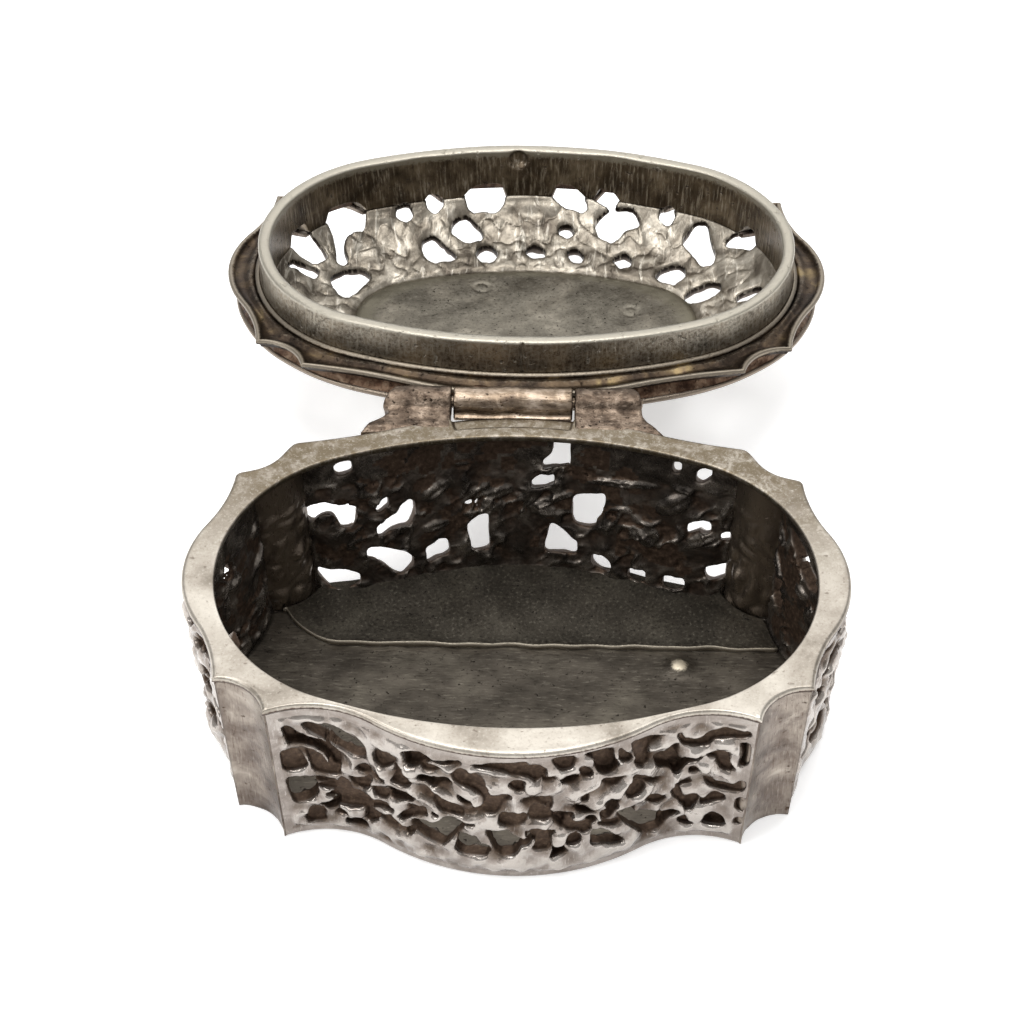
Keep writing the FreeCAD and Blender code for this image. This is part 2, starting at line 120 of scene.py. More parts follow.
def ripple(points, wavelength, seed, waves=14):
    """Smooth random height between about -1 and 1, the same on every run."""
    rng = np.random.default_rng(seed)
    total = np.zeros(points[0].shape)
    for _ in range(waves):
        direction = rng.normal(size=len(points))
        direction /= np.linalg.norm(direction)
        pitch = wavelength * rng.uniform(0.6, 1.7)
        phase = rng.uniform(0, 2 * math.pi)
        along = sum(d * p for d, p in zip(direction, points))
        total += np.sin(2 * math.pi * along / pitch + phase)
    return total / math.sqrt(waves)


def rounded(points, passes=2):
    """Closed outline through a few points, its corners rounded by cutting them."""
    outline = np.array(points, float)
    for _ in range(passes):
        following = np.roll(outline, -1, axis=0)
        outline = np.stack([0.83 * outline + 0.17 * following, 0.17 * outline + 0.83 * following], 1)
        outline = outline.reshape(-1, 2)
    return outline


def outline_distance(x, y, outline):
    """Signed distance to a closed outline, negative inside."""
    nearest = np.full(x.shape, 1e9)
    inside = np.zeros(x.shape, bool)
    for (ax, ay), (bx, by) in zip(outline, np.roll(outline, -1, axis=0)):
        ex, ey = bx - ax, by - ay
        t = np.clip(((x - ax) * ex + (y - ay) * ey) / (ex * ex + ey * ey + 1e-12), 0, 1)
        nearest = np.minimum(nearest, (x - ax - t * ex) ** 2 + (y - ay - t * ey) ** 2)
        crosses = ((ay > y) != (by > y)) & (x < (bx - ax) * (y - ay) / (by - ay + 1e-12) + ax)
        inside ^= crosses
    distance = np.sqrt(nearest)
    return np.where(inside, -distance, distance)


def openings_field(x, y, openings, reach=1.2):
    """Distance to the nearest of several openings, worked out only near each one."""
    field = np.full(x.shape, reach)
    for points in openings:
        outline = rounded(points)
        low, high = outline.min(0) - reach, outline.max(0) + reach
        rows = np.where((x[:, 0] >= low[0]) & (x[:, 0] <= high[0]))[0]
        columns = np.where((y[0] >= low[1]) & (y[0] <= high[1]))[0]
        if len(rows) == 0 or len(columns) == 0:
            continue
        patch = np.ix_(rows, columns)
        field[patch] = np.minimum(field[patch], outline_distance(x[patch], y[patch], outline))
    return field


def grid_sample(field, px, py, x, y):
    """A field of (x, y) read at the grid point nearest to each place."""
    column = np.clip(np.round((px - x[0]) / (x[1] - x[0])).astype(int), 0, len(x) - 1)
    row = np.clip(np.round((py - y[0]) / (y[1] - y[0])).astype(int), 0, len(y) - 1)
    return field[column, row]


def grid_quads(index):
    """Quads of a rectangular grid of vertex numbers."""
    return list(zip(index[:-1, :-1].ravel(), index[1:, :-1].ravel(), index[1:, 1:].ravel(),
                    index[:-1, 1:].ravel()))


def grid_border(index):
    """Vertex numbers round the edge of a rectangular grid."""
    return np.concatenate([index[:, 0], index[-1, 1:], index[-2::-1, -1], index[0, -2:0:-1]])


def surface_nets(field, origin, step):
    """Closed quad mesh of the zero level of a field that is negative inside the solid."""
    inside = field < 0
    shape = np.array(field.shape)
    cells = shape - 1
    total = np.zeros(tuple(cells) + (3,))
    count = np.zeros(tuple(cells))
    corner = [(i, j, k) for i in (0, 1) for j in (0, 1) for k in (0, 1)]

    def window(offset):
        return tuple(slice(o, o + c) for o, c in zip(offset, cells))

    for a in corner:
        for axis in range(3):
            if a[axis]:
                continue
            b = tuple(v + (1 if n == axis else 0) for n, v in enumerate(a))
            fa, fb = field[window(a)], field[window(b)]
            cross = inside[window(a)] != inside[window(b)]
            t = np.where(cross, fa / np.where(cross, fa - fb, 1.0), 0.0)
            for n in range(3):
                total[..., n] += np.where(cross, a[n] + (t if n == axis else 0.0), 0.0)
            count += cross
    used = count > 0
    index = np.full(tuple(cells), -1)
    index[used] = np.arange(used.sum())
    position = total[used] / count[used][:, None] + np.argwhere(used)
    quads = []
    for axis in range(3):
        first, second = (axis + 1) % 3, (axis + 2) % 3
        low = [slice(1, -1)] * 3
        low[axis] = slice(0, -1)
        high = list(low)
        high[axis] = slice(1, None)
        enters = ~inside[tuple(low)] & inside[tuple(high)]
        leaves = inside[tuple(low)] & ~inside[tuple(high)]
        for crossing, flip in ((enters, True), (leaves, False)):
            place = np.argwhere(crossing)
            for n in range(3):
                if n != axis:
                    place[:, n] += 1
            ring = []
            for df, ds in ((0, 0), (1, 0), (1, 1), (0, 1)):
                cell = place.copy()
                cell[:, first] -= df
                cell[:, second] -= ds
                ring.append(index[cell[:, 0], cell[:, 1], cell[:, 2]])
            ring = np.stack(ring[::-1] if flip else ring, 1)
            quads.append(ring)
    return position * step + origin, np.concatenate(quads)


def piece(name, points_mm, faces, body, nodes, material, attributes=None):
    """Make one closed mesh object from millimetre points, facing outwards, and tie it to the frame."""
    points_mm = np.asarray(points_mm, float)
    fans = np.array([(f[0], f[k], f[k + 1]) for f in faces for k in range(1, len(f) - 1)])
    a, b, c = (points_mm[fans[:, k]] for k in range(3))
    if np.einsum("ij,ij->", a, np.cross(b, c)) < 0:
        faces = [f[::-1] for f in faces]
    mesh = bpy.data.meshes.new(name)
    mesh.from_pydata((points_mm * MM).tolist(), [], [tuple(f) for f in faces])
    mesh.validate()
    mesh.update()
    for key, values in (attributes or {}).items():
        layer = mesh.attributes.new(key, "FLOAT", "POINT")
        layer.data.foreach_set("value", np.asarray(values, np.float32))
    mesh.polygons.foreach_set("use_smooth", [True] * len(mesh.polygons))
    thing = bpy.data.objects.new(name, mesh)
    bpy.context.scene.collection.objects.link(thing)
    mesh.materials.append(material)
    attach(thing, body)
    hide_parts(*nodes)


# ---------------------------------------------------------------- plan curves

def side_profile(apex, bulge, corner, samples=60):
    """Points and outward normals of one side, left arris to right, x across and y outward."""
    radius, half = bulge
    angle = math.asin(half / radius)
    normal = np.array([math.sin(angle), math.cos(angle)])
    turn = np.array([0, apex - radius]) + normal * radius
    span = turn - corner
    hollow = -(span @ span) / (2 * span @ normal)
    centre = turn + normal * hollow
    sweep = np.linspace(-angle, angle, 2 * samples + 1)
    middle = np.stack([radius * np.sin(sweep), apex - radius + radius * np.cos(sweep)], 1)
    middle_normal = np.stack([np.sin(sweep), np.cos(sweep)], 1)
    start = math.atan2(*(turn - centre)[::-1])
    end = math.atan2(*(corner - centre)[::-1])
    turnings = np.linspace(start, end, samples + 1)[1:]
    right_normal = -np.stack([np.cos(turnings), np.sin(turnings)], 1)
    right = centre - right_normal * hollow
    mirror = np.array([-1, 1])
    points = np.concatenate([right[::-1] * mirror, middle, right])
    normals = np.concatenate([right_normal[::-1] * mirror, middle_normal, right_normal])
    return points, normals


PROFILES = {"front": side_profile(HALF_DEPTH, FRONT_BULGE, FRONT_CORNER),
            "rear": side_profile(HALF_DEPTH, REAR_BULGE, FRONT_CORNER),
            "end": side_profile(HALF_WIDTH, END_BULGE, END_CORNER[::-1])}


def flute_profile(samples=20):
    """Points and outward normals of the front right flute, from its front to its end arris."""
    front = FRONT_CORNER * [1, -1]
    end = END_CORNER * [1, -1]
    chord = end - front
    length = np.linalg.norm(chord)
    radius = (length ** 2 / 4 + FLUTE_DEPTH ** 2) / (2 * FLUTE_DEPTH)
    outward = np.array([chord[1], -chord[0]]) / length
    centre = (front + end) / 2 + outward * (radius - FLUTE_DEPTH)
    half = math.asin(length / 2 / radius)
    base = math.atan2(-outward[1], -outward[0])
    sweep = base + np.linspace(half, -half, samples + 1)
    normals = -np.stack([np.cos(sweep), np.sin(sweep)], 1)
    return centre - normals * radius, normals


def oval_points(half_length, half_width, end_radius, angles):
    """Four-centred oval met by rays from its centre at the given angles."""
    end = half_length - end_radius
    radius = (end ** 2 + half_width ** 2 - end_radius ** 2) / (2 * (half_width - end_radius))
    drop = radius - half_width
    c, s = np.abs(np.cos(angles)), np.abs(np.sin(angles))
    join = math.atan2(-drop + radius * drop / math.hypot(end, drop), end * radius / math.hypot(end, drop))
    to_end = end * c + np.sqrt(np.maximum(end_radius ** 2 - (end * s) ** 2, 0))
    to_side = -drop * s + np.sqrt(radius ** 2 - (drop * c) ** 2)
    reach = np.where(np.arctan2(s, c) < join, to_end, to_side)
    return np.stack([reach * np.cos(angles), reach * np.sin(angles)], -1)


def whole_outline():
    """The box's outline, anticlockwise from the middle of its right end."""
    front_p, front_n = PROFILES["front"]
    rear_p, rear_n = (column[::-1] for column in PROFILES["rear"])
    end_p, end_n = PROFILES["end"]
    flute_p, flute_n = flute_profile()
    right_p, right_n = end_p[:, ::-1], end_n[:, ::-1]
    left_p, left_n = -end_p[:, ::-1], -end_n[:, ::-1]
    low_p, low_n = front_p * [1, -1], front_n * [1, -1]

    def flute(sx, sy):
        """One flute between two sides; a single mirroring reverses it, so it is read backwards."""
        step = -1 if sx * sy < 0 else 1
        return (flute_p * [sx, sy])[::step][1:-1], (flute_n * [sx, sy])[::step][1:-1]

    loop = [(right_p, right_n), flute(1, -1), (rear_p, rear_n), flute(-1, -1),
            (left_p, left_n), flute(-1, 1), (low_p, low_n), flute(1, 1)]
    return tuple(np.concatenate(column) for column in zip(*loop))


def taper_at(z):
    return BASE_TAPER + (1 - BASE_TAPER) * z / RIM_TOP


# The rear wall leans in at its foot, and its openings slope down outwards. Each opening is swept down
# a line of sight this steep, by these shares of the drop across most of the wall's thickness.
REAR_LEAN = 1.3
OPENING_SLOPE = 0.55
SIGHT_SLOPE = math.tan(math.radians(46))
SWEPT_THICKNESS = 0.93
SWEEP_SHARES = (0.62, 0.74, 0.85, 0.96)


class Side:
    """Bends a flat sheet, u along it, z up and w inward from its face, on to one side of the box."""

    def __init__(self, name):
        self.name = name
        self.points, self.normals = PROFILES[name if name in ("front", "rear") else "end"]
        steps = np.linalg.norm(np.diff(self.points, axis=0), axis=1)
        self.along = np.concatenate([[0], np.cumsum(steps)])
        self.length = self.along[-1]

    def bend(self, sheet):
        u, z, w = sheet.T
        clipped = np.clip(u, 0, self.length)
        x, y, nx, ny = (np.interp(clipped, self.along, column)
                        for column in (*self.points.T, *self.normals.T))
        if self.name == "rear":
            w = w + REAR_LEAN * smooth_step(np.minimum(u, self.length - u), 0, 2.0) * (1 - z / RIM_UNDER)
        x = x - nx * w + (u - clipped)
        y = y - ny * w
        scale = taper_at(z)
        x, y = x * scale, y * scale
        place = {"front": (x, -y), "rear": (x, y), "left": (-y, x), "right": (y, x)}[self.name]
        return np.stack([place[0], place[1], z], 1)


# Every ring of the box and lid shares these directions round the centre.
OUTLINE, OUTLINE_NORMALS = whole_outline()
ROUND = np.unwrap(np.arctan2(OUTLINE[:, 1], OUTLINE[:, 0]))
OUTLINE_REACH = np.linalg.norm(OUTLINE, axis=1)


def inset_reach(inset):
    """How far the outline, moved in by an inset, lies from the centre in each direction."""
    moved = OUTLINE - OUTLINE_NORMALS * inset
    gap = np.sqrt(((moved[:, None] - OUTLINE[None]) ** 2).sum(-1)).min(1)
    kept = moved[gap > inset - 0.01]
    angle = np.arctan2(kept[:, 1], kept[:, 0])
    order = np.argsort(angle)
    return np.interp(np.mod(ROUND + math.pi, 2 * math.pi) - math.pi, angle[order],
                     np.linalg.norm(kept, axis=1)[order], period=2 * math.pi)


def oval_reach(half_length, half_width, end_radius, angles=None):
    angles = ROUND if angles is None else angles
    return np.linalg.norm(oval_points(half_length, half_width, end_radius, angles), axis=-1)


def mouth_reach(inset):
    return oval_reach(*(size - inset for size in MOUTH))


def plan(reach):
    """The plan points x and y of a ring."""
    return reach * np.cos(ROUND), reach * np.sin(ROUND)


def lay_rings(rings, close=False, cap_start=False, cap_end=False):
    """Quads between rings given as (reach, height) round the centre; ends may be capped."""
    points, faces = [], []
    n = len(ROUND)
    for reach, height in rings:
        height = np.broadcast_to(height, reach.shape)
        points.append(np.stack([*plan(reach), height], 1))
    count = len(rings)
    following = np.roll(np.arange(n), -1)
    for a in range(count if close else count - 1):
        b = (a + 1) % count
        faces.append(np.stack([a * n + np.arange(n), a * n + following,
                               b * n + following, b * n + np.arange(n)], 1))
    faces = [tuple(f) for f in np.concatenate(faces)]
    points = np.concatenate(points)
    for ring, wanted, flip in ((0, cap_start, True), (count - 1, cap_end, False)):
        if wanted:
            middle = len(points)
            points = np.vstack([points, points[ring * n:(ring + 1) * n].mean(0)])
            for i, j in zip(ring * n + np.arange(n), ring * n + following):
                faces.append((j, i, middle) if flip else (i, j, middle))
    return points, faces


def swing(points):
    """From the closed lid's place to where it lies thrown open."""
    y, z = points[:, 1] - HINGE_POINT[1], points[:, 2] - HINGE_POINT[2]
    c, s = math.cos(-OPEN_ANGLE), math.sin(-OPEN_ANGLE)
    return np.stack([points[:, 0], HINGE_POINT[1] + c * y - s * z, HINGE_POINT[2] + s * y + c * z], 1)


# ---------------------------------------------------------------- materials

def linear(code):
    """sRGB hex colour as linear RGBA."""
    channels = [int(code[i:i + 2], 16) / 255 for i in (0, 2, 4)]
    return [c / 12.92 if c <= 0.04045 else ((c + 0.055) / 1.055) ** 2.4 for c in channels] + [1.0]


class Surface:
    """A node material; textures run in millimetres on the object's own coordinates."""

    def __init__(self, name, metallic=1.0):
        self.material = bpy.data.materials.new(name)
        self.material.use_nodes = True
        self.tree = self.material.node_tree
        self.shader = self.tree.nodes["Principled BSDF"]
        self.shader.inputs["Metallic"].default_value = metallic
        coordinates = self.add("ShaderNodeTexCoord")
        scale = self.add("ShaderNodeMapping")
        scale.inputs["Scale"].default_value = (1 / MM,) * 3
        self.join(coordinates.outputs["Object"], scale.inputs["Vector"])
        self.where = scale.outputs["Vector"]

    def add(self, kind, **settings):
        node = self.tree.nodes.new(kind)
        for key, value in settings.items():
            setattr(node, key, value)
        return node

    def join(self, out, into):
        self.tree.links.new(out, into)

    def put(self, value, socket):
        if isinstance(value, bpy.types.NodeSocket):
            self.join(value, socket)
        else:
            socket.default_value = value

    def stretched(self, scale, rotation=(0, 0, 0)):
        node = self.add("ShaderNodeMapping")
        node.inputs["Scale"].default_value = scale
        node.inputs["Rotation"].default_value = rotation
        self.join(self.where, node.inputs["Vector"])
        return node.outputs["Vector"]

    def noise(self, pitch, detail=4.0, roughness=0.6, distortion=0.0, where=None):
        """Noise whose features are about pitch millimetres across."""
        node = self.add("ShaderNodeTexNoise")
        node.inputs["Scale"].default_value = 1 / pitch
        node.inputs["Detail"].default_value = detail
        node.inputs["Roughness"].default_value = roughness
        node.inputs["Distortion"].default_value = distortion
        self.join(where or self.where, node.inputs["Vector"])
        return node.outputs["Fac"]

    def attribute(self, name):
        return self.add("ShaderNodeAttribute", attribute_name=name).outputs["Fac"]

    def axis(self, letter):
        node = self.add("ShaderNodeSeparateXYZ")
        self.join(self.where, node.inputs[0])
        return node.outputs[letter]

    def math(self, operation, a, b):
        node = self.add("ShaderNodeMath", operation=operation)
        self.put(a, node.inputs[0])
        self.put(b, node.inputs[1])
        return node.outputs[0]

    def span(self, value, low, high, to_low=0.0, to_high=1.0):
        node = self.add("ShaderNodeMapRange", interpolation_type="SMOOTHSTEP")
        for socket, amount in zip(list(node.inputs)[1:5], (low, high, to_low, to_high)):
            socket.default_value = amount
        self.join(value, node.inputs[0])
        return node.outputs[0]

    def mix(self, a, b, share):
        node = self.add("ShaderNodeMix", data_type="RGBA")
        node.clamp_factor = True
        self.put(share, node.inputs[0])
        for colour, socket in ((a, node.inputs[6]), (b, node.inputs[7])):
            self.put(linear(colour) if isinstance(colour, str) else colour, socket)
        return node.outputs[2]

    def ramp(self, value, *stops):
        node = self.add("ShaderNodeValToRGB")
        elements = node.color_ramp.elements
        while len(elements) < len(stops):
            elements.new(0.5)
        for element, (place, colour) in zip(elements, stops):
            element.position = place
            element.color = linear(colour)
        self.join(value, node.inputs[0])
        return node.outputs[0]

    def bump(self, height, depth_mm, strength=1.0, after=None):
        node = self.add("ShaderNodeBump")
        node.inputs["Strength"].default_value = strength
        node.inputs["Distance"].default_value = depth_mm * MM
        self.join(height, node.inputs["Height"])
        if after is not None:
            self.join(after, node.inputs["Normal"])
        return node.outputs["Normal"]

    def finish(self, colour, roughness, normal):
        self.put(colour, self.shader.inputs["Base Color"])
        self.put(roughness, self.shader.inputs["Roughness"])
        self.join(normal, self.shader.inputs["Normal"])
        return self.material


def relief_silver():
    """Chased silver: grey bars with painted highlights on their crests, brown tarnish and painted shade in
    the recesses, dark gloss inside.
    """
    s = Surface("chased_silver", 0.85)
    recess, inner = s.attribute("recess"), s.attribute("inner")
    patches = s.noise(2.6, 5, 0.65, 0.6)
    grain = s.noise(0.35, 6, 0.7)
    scratches = s.noise(0.9, 5, 0.7, 0.3, s.stretched((5.0, 5.0, 0.8), (0.3, 0.5, 0.0)))
    # Painted highlight: the crest value lightens the bars' raised parts.
    crest_highlight = s.math("ADD", s.attribute("crest_highlight"), s.span(patches, 0.3, 0.7, -0.14, 0.14))
    proud = s.ramp(crest_highlight, (0.1, "483D34"), (0.36, "6C6259"), (0.6, "8D847D"), (0.85, "B2ABA4"))
    proud = s.mix(proud, "6B5C50", s.span(grain, 0.56, 0.8, 0.0, 0.5))
    proud = s.mix(proud, "D5CFC9", s.span(scratches, 0.58, 0.72, 0.0, 0.5))
    # Tarnish and painted shade: the recesses and the bars' flanks darken to brown with depth.
    tarnish_and_shade = s.ramp(grain, (0.3, "33271E"), (0.55, "56463A"), (0.8, "857260"))
    shade = s.span(s.math("ADD", recess, s.math("MULTIPLY", grain, 0.2)), 0.16, 0.52)
    outer = s.mix(proud, tarnish_and_shade, shade)
    gloss = s.ramp(patches, (0.3, "292522"), (0.48, "554F49"), (0.62, "8F877E"), (0.78, "D6CFC6"))
    gloss = s.mix(gloss, "1D1713", s.span(grain, 0.5, 0.75, 0.0, 0.7))
    colour = s.mix(outer, gloss, inner)
    rough = s.math("ADD", s.span(shade, 0.0, 1.0, 0.17, 0.6), s.span(grain, 0.3, 0.8, -0.04, 0.12))
    rough = s.math("SUBTRACT", rough, s.math("MULTIPLY", inner, 0.34))
    normal = s.bump(patches, 0.10, 0.5)
    normal = s.bump(scratches, 0.02, 0.5, normal)
    normal = s.bump(grain, 0.02, 0.6, normal)
    return s.finish(colour, rough, normal)


def plain_silver(name, stops, pits="3B2C22", pit_amount=0.5, rough=(0.25, 0.45), pitch=3.0,
                 brush=(4.0, 4.0, 0.7), wear=None, metallic=0.95, bump_depth=0.03, pit_size=0.55,
                 second=None, rear=None, streaks=(0.52, 0.75, 0.55)):
    """Hand-worked silver with tonal patches, fine scratches one way, and brown pits.

    A second colour comes in with the mesh's own edge value; rear darkens it towards the hinge.
    """
    s = Surface(name, metallic)
    patches = s.noise(pitch, 4, 0.6, 0.4)
    grain = s.noise(0.3, 6, 0.75)
    strokes = s.noise(0.8, 6, 0.7, 0.2, s.stretched(brush))
    spots = s.noise(pit_size, 3, 0.5)
    colour = s.ramp(patches, *stops)
    if rear:
        edge_of_tarnish = s.math("ADD", s.axis("Y"), s.span(patches, 0.3, 0.7, -3.0, 3.0))
        mottled = s.mix(rear, colour, s.span(s.noise(1.1, 5, 0.7, 0.5), 0.42, 0.7, 0.0, 0.7))
        colour = s.mix(colour, mottled, s.span(edge_of_tarnish, -1.0, 11.0, 0.0, 0.95))
    colour = s.mix(colour, wear or stops[-1][1], s.span(strokes, streaks[0], streaks[1], 0.0, streaks[2]))
    colour = s.mix(colour, pits, s.span(strokes, 0.47, 0.33, 0.0, pit_amount * 0.7))
    colour = s.mix(colour, pits, s.span(spots, 0.63, 0.74, 0.0, pit_amount))
    colour = s.mix(colour, pits, s.span(grain, 0.62, 0.85, 0.0, pit_amount * 0.6))
    if second:
        # The edge value brings in the second colour. Under the rim it is painted shade; on the flute lining,
        # the floor's bump, the sheet's front edge, the ledge's edge and the medallion's rim it is painted
        # light; on the collar it is painted light and shade; on the flange it is wear.
        worn = s.math("ADD", s.attribute("edge"), s.span(grain, 0.3, 0.7, -0.18, 0.18))
        colour = s.mix(colour, second, s.span(worn, 0.25, 0.75))
    roughness = s.math("ADD", s.span(strokes, 0.3, 0.75, *rough), s.span(spots, 0.6, 0.75, 0.0, 0.25))
    normal = s.bump(patches, bump_depth * 2, 0.4)
    normal = s.bump(strokes, bump_depth, 0.6, normal)
    normal = s.bump(s.span(spots, 0.62, 0.76, 1.0, 0.0), bump_depth * 1.5, 0.7, normal)
    return s.finish(colour, roughness, s.bump(grain, bump_depth * 0.7, 0.6, normal))


def dome_silver():
    """Inside of the dome: warm cream silver, wavy wrinkles with painted highlights on their crests, black
    round the openings.
    """
    s = Surface("dome_silver", 0.8)
    recess, inner = s.attribute("recess"), s.attribute("inner")
    patches = s.noise(3.2, 5, 0.6, 1.2)
    grain = s.noise(0.3, 6, 0.7)
    wrinkles = s.noise(1.3, 5, 0.65, 0.8, s.stretched((2.0, 0.5, 0.6)))
    colour = s.ramp(patches, (0.3, "4E463D"), (0.45, "776F63"), (0.56, "999184"), (0.72, "C4BCAE"))
    # Painted highlight: the wrinkles' crests are painted pale cream.
    colour = s.mix(colour, "DDD6C8", s.span(wrinkles, 0.54, 0.68, 0.0, 0.6))
    colour = s.mix(colour, "352A20", s.span(grain, 0.55, 0.78, 0.0, 0.75))
    colour = s.mix(colour, "1F1711", s.span(recess, 0.25, 0.75))
    colour = s.mix(colour, "8D8178", s.math("MULTIPLY", inner, 0.6))
    normal = s.bump(patches, 0.12, 0.5)
    normal = s.bump(wrinkles, 0.10, 0.7, normal)
    return s.finish(colour, s.span(grain, 0.3, 0.8, 0.28, 0.5), s.bump(grain, 0.03, 0.8, normal))


MATERIALS = {
    "chased": relief_silver(),
    "dome": dome_silver(),
    # The rim's dark second colour is painted shade under its edges.
    "rim": plain_silver(
        "polished_rim", ((0.3, "7A7267"), (0.45, "A0988D"), (0.6, "B7B0A5"), (0.8, "CEC8BD")),
        pits="6E6156", pit_amount=0.5, rough=(0.32, 0.46), bump_depth=0.010, rear="655A48", pitch=5.0,
        second="3A2114"),
    # The flute's second colour is painted light on the lining inside the box.
    "flute": plain_silver(
        "fluted_corner", ((0.3, "4B4038"), (0.45, "6B6058"), (0.6, "8B8177"), (0.8, "BDB4A8")),
        pits="43301F", pit_amount=0.8, brush=(6.0, 6.0, 0.5), rough=(0.25, 0.45), second="85796C"),
    # The floor's pale cream second colour is a painted highlight on the bump.
    "floor": plain_silver(
        "floor_silver", ((0.3, "3B362F"), (0.5, "4C463E"), (0.7, "5F594F")),
        pits="241F19", pit_amount=0.9, brush=(0.8, 4.0, 4.0), rough=(0.4, 0.58), pitch=5.0, wear="8E877A",
        metallic=0.8, pit_size=0.3, bump_depth=0.02, second="C9BEA9"),
    "sheet": plain_silver(
        "lapped_sheet", ((0.3, "37332C"), (0.5, "464139"), (0.7, "575248")),
        pits="1D1915", pit_amount=0.9, brush=(3.0, 3.0, 3.0), rough=(0.4, 0.6), pitch=5.0, wear="8B8577",
        metallic=0.8, pit_size=0.3, bump_depth=0.02, second="A79E8E"),
    "ear": plain_silver(
        "ear_silver", ((0.3, "382F28"), (0.48, "584B40"), (0.62, "7C6D5F"), (0.8, "B2A190")),
        pits="20170F", pit_amount=0.95, brush=(1.2, 2.5, 2.5), pitch=1.2, pit_size=0.35, bump_depth=0.08),
    "hinge": plain_silver(
        "hinge_silver", ((0.3, "5A4D42"), (0.48, "80705F"), (0.62, "A79685"), (0.8, "D3C4B3")),
        pits="33241B", pit_amount=0.9, brush=(0.7, 4.0, 4.0), pitch=1.4, pit_size=0.35, bump_depth=0.035),
    # The collar's pale second colour is a painted highlight, strongest at the free edge.
    "collar": plain_silver(
        "collar_silver", ((0.3, "42392F"), (0.48, "645849"), (0.62, "857866"), (0.8, "A89B89")),
        pits="241B14", pit_amount=0.7, brush=(3.6, 3.6, 0.05), rough=(0.28, 0.45), pitch=2.5,
        wear="CFC5B4", second="ABA598", bump_depth=0.05, streaks=(0.5, 0.68, 0.6)),
    "flange": plain_silver(
        "tarnished_silver", ((0.3, "1F1A16"), (0.46, "392F27"), (0.6, "57493A"), (0.75, "8C7A58")),
        pits="17110D", pit_amount=0.7, pitch=2.6, rough=(0.3, 0.5), wear="6E6353", second="857C6F"),
    "band": plain_silver(
        "band_silver", ((0.3, "2A1D16"), (0.48, "4A372B"), (0.62, "6E5A4A"), (0.8, "9A8A78")),
        pits="160E0A", pit_amount=0.9, pitch=1.2, rough=(0.3, 0.55), wear="8D7C6A", second="C4B8AA",
        pit_size=0.4, bump_depth=0.06),
    # The medallion's second colour is a painted highlight round its rim.
    "medallion": plain_silver(
        "medallion_silver", ((0.3, "58534A"), (0.48, "6D685E"), (0.62, "837D71"), (0.8, "A49D90")),
        pits="26221B", pit_amount=0.95, brush=(3.0, 3.4, 3.0), pitch=4.0, pit_size=0.26, bump_depth=0.03,
        rough=(0.35, 0.5), second="777264"),
}


# ---------------------------------------------------------------- pierced panels

# Openings of the front, along it from its left arris and up from the foot, in millimetres.
# Through: cut right through the wall. Deep and shallow: sunk, with a dark ground.
FRONT_THROUGH = [
    [(2.6, 13.1), (4.4, 13.2), (5.3, 12.9), (6.0, 12.1), (7.1, 11.7), (7.3, 11.2), (7.3, 10.3), (6.4, 9.9),
     (5.6, 10.3), (5.1, 10.6), (4.2, 11.3), (3.2, 12.1)],
    [(0.9, 6.7), (1.6, 6.8), (2.3, 6.7), (2.8, 6.4), (3.1, 5.6), (3.0, 4.9), (2.7, 4.3), (2.3, 3.9),
     (1.5, 3.8), (1.2, 4.2), (1.1, 5.2)],
    [(11.2, 5.2), (12.0, 5.3), (13.0, 5.6), (13.5, 6.1), (14.0, 6.7), (14.9, 6.8), (15.3, 6.0),
     (14.8, 5.3), (14.2, 4.2), (13.5, 3.0), (12.6, 3.2), (11.4, 3.9), (11.1, 4.4)],
    [(25.1, 4.9), (25.9, 4.6), (26.5, 4.0), (27.0, 3.2), (27.9, 2.1), (27.0, 2.3), (25.9, 2.9),
     (25.1, 3.1)],
    [(14.9, 4.8), (15.6, 5.0), (16.0, 4.9), (16.2, 4.4), (16.6, 3.6), (17.0, 3.0), (16.9, 2.6),
     (16.0, 2.5), (15.0, 2.5), (14.6, 3.0), (14.8, 3.9)],
    [(17.1, 5.9), (18.0, 6.0), (18.5, 5.8), (19.0, 5.1), (19.6, 4.9), (20.4, 4.9), (20.1, 4.1),
     (19.5, 4.0), (19.3, 3.3), (19.0, 2.9), (18.3, 2.8), (17.8, 3.2), (17.5, 4.2), (17.1, 5.3)],
    [(27.2, 6.1), (27.9, 6.3), (28.6, 5.9), (28.5, 5.2), (29.2, 4.8), (29.9, 4.4), (30.9, 4.0),
     (31.0, 3.3), (31.1, 2.2), (31.0, 1.7), (30.2, 1.8), (29.6, 2.3), (29.1, 2.9), (28.5, 3.7),
     (28.0, 4.4), (27.6, 5.0)],
    [(25.7, 6.9), (26.3, 7.1), (27.0, 7.0), (27.2, 6.7), (26.8, 6.2), (26.4, 5.7), (25.9, 5.9)],
]
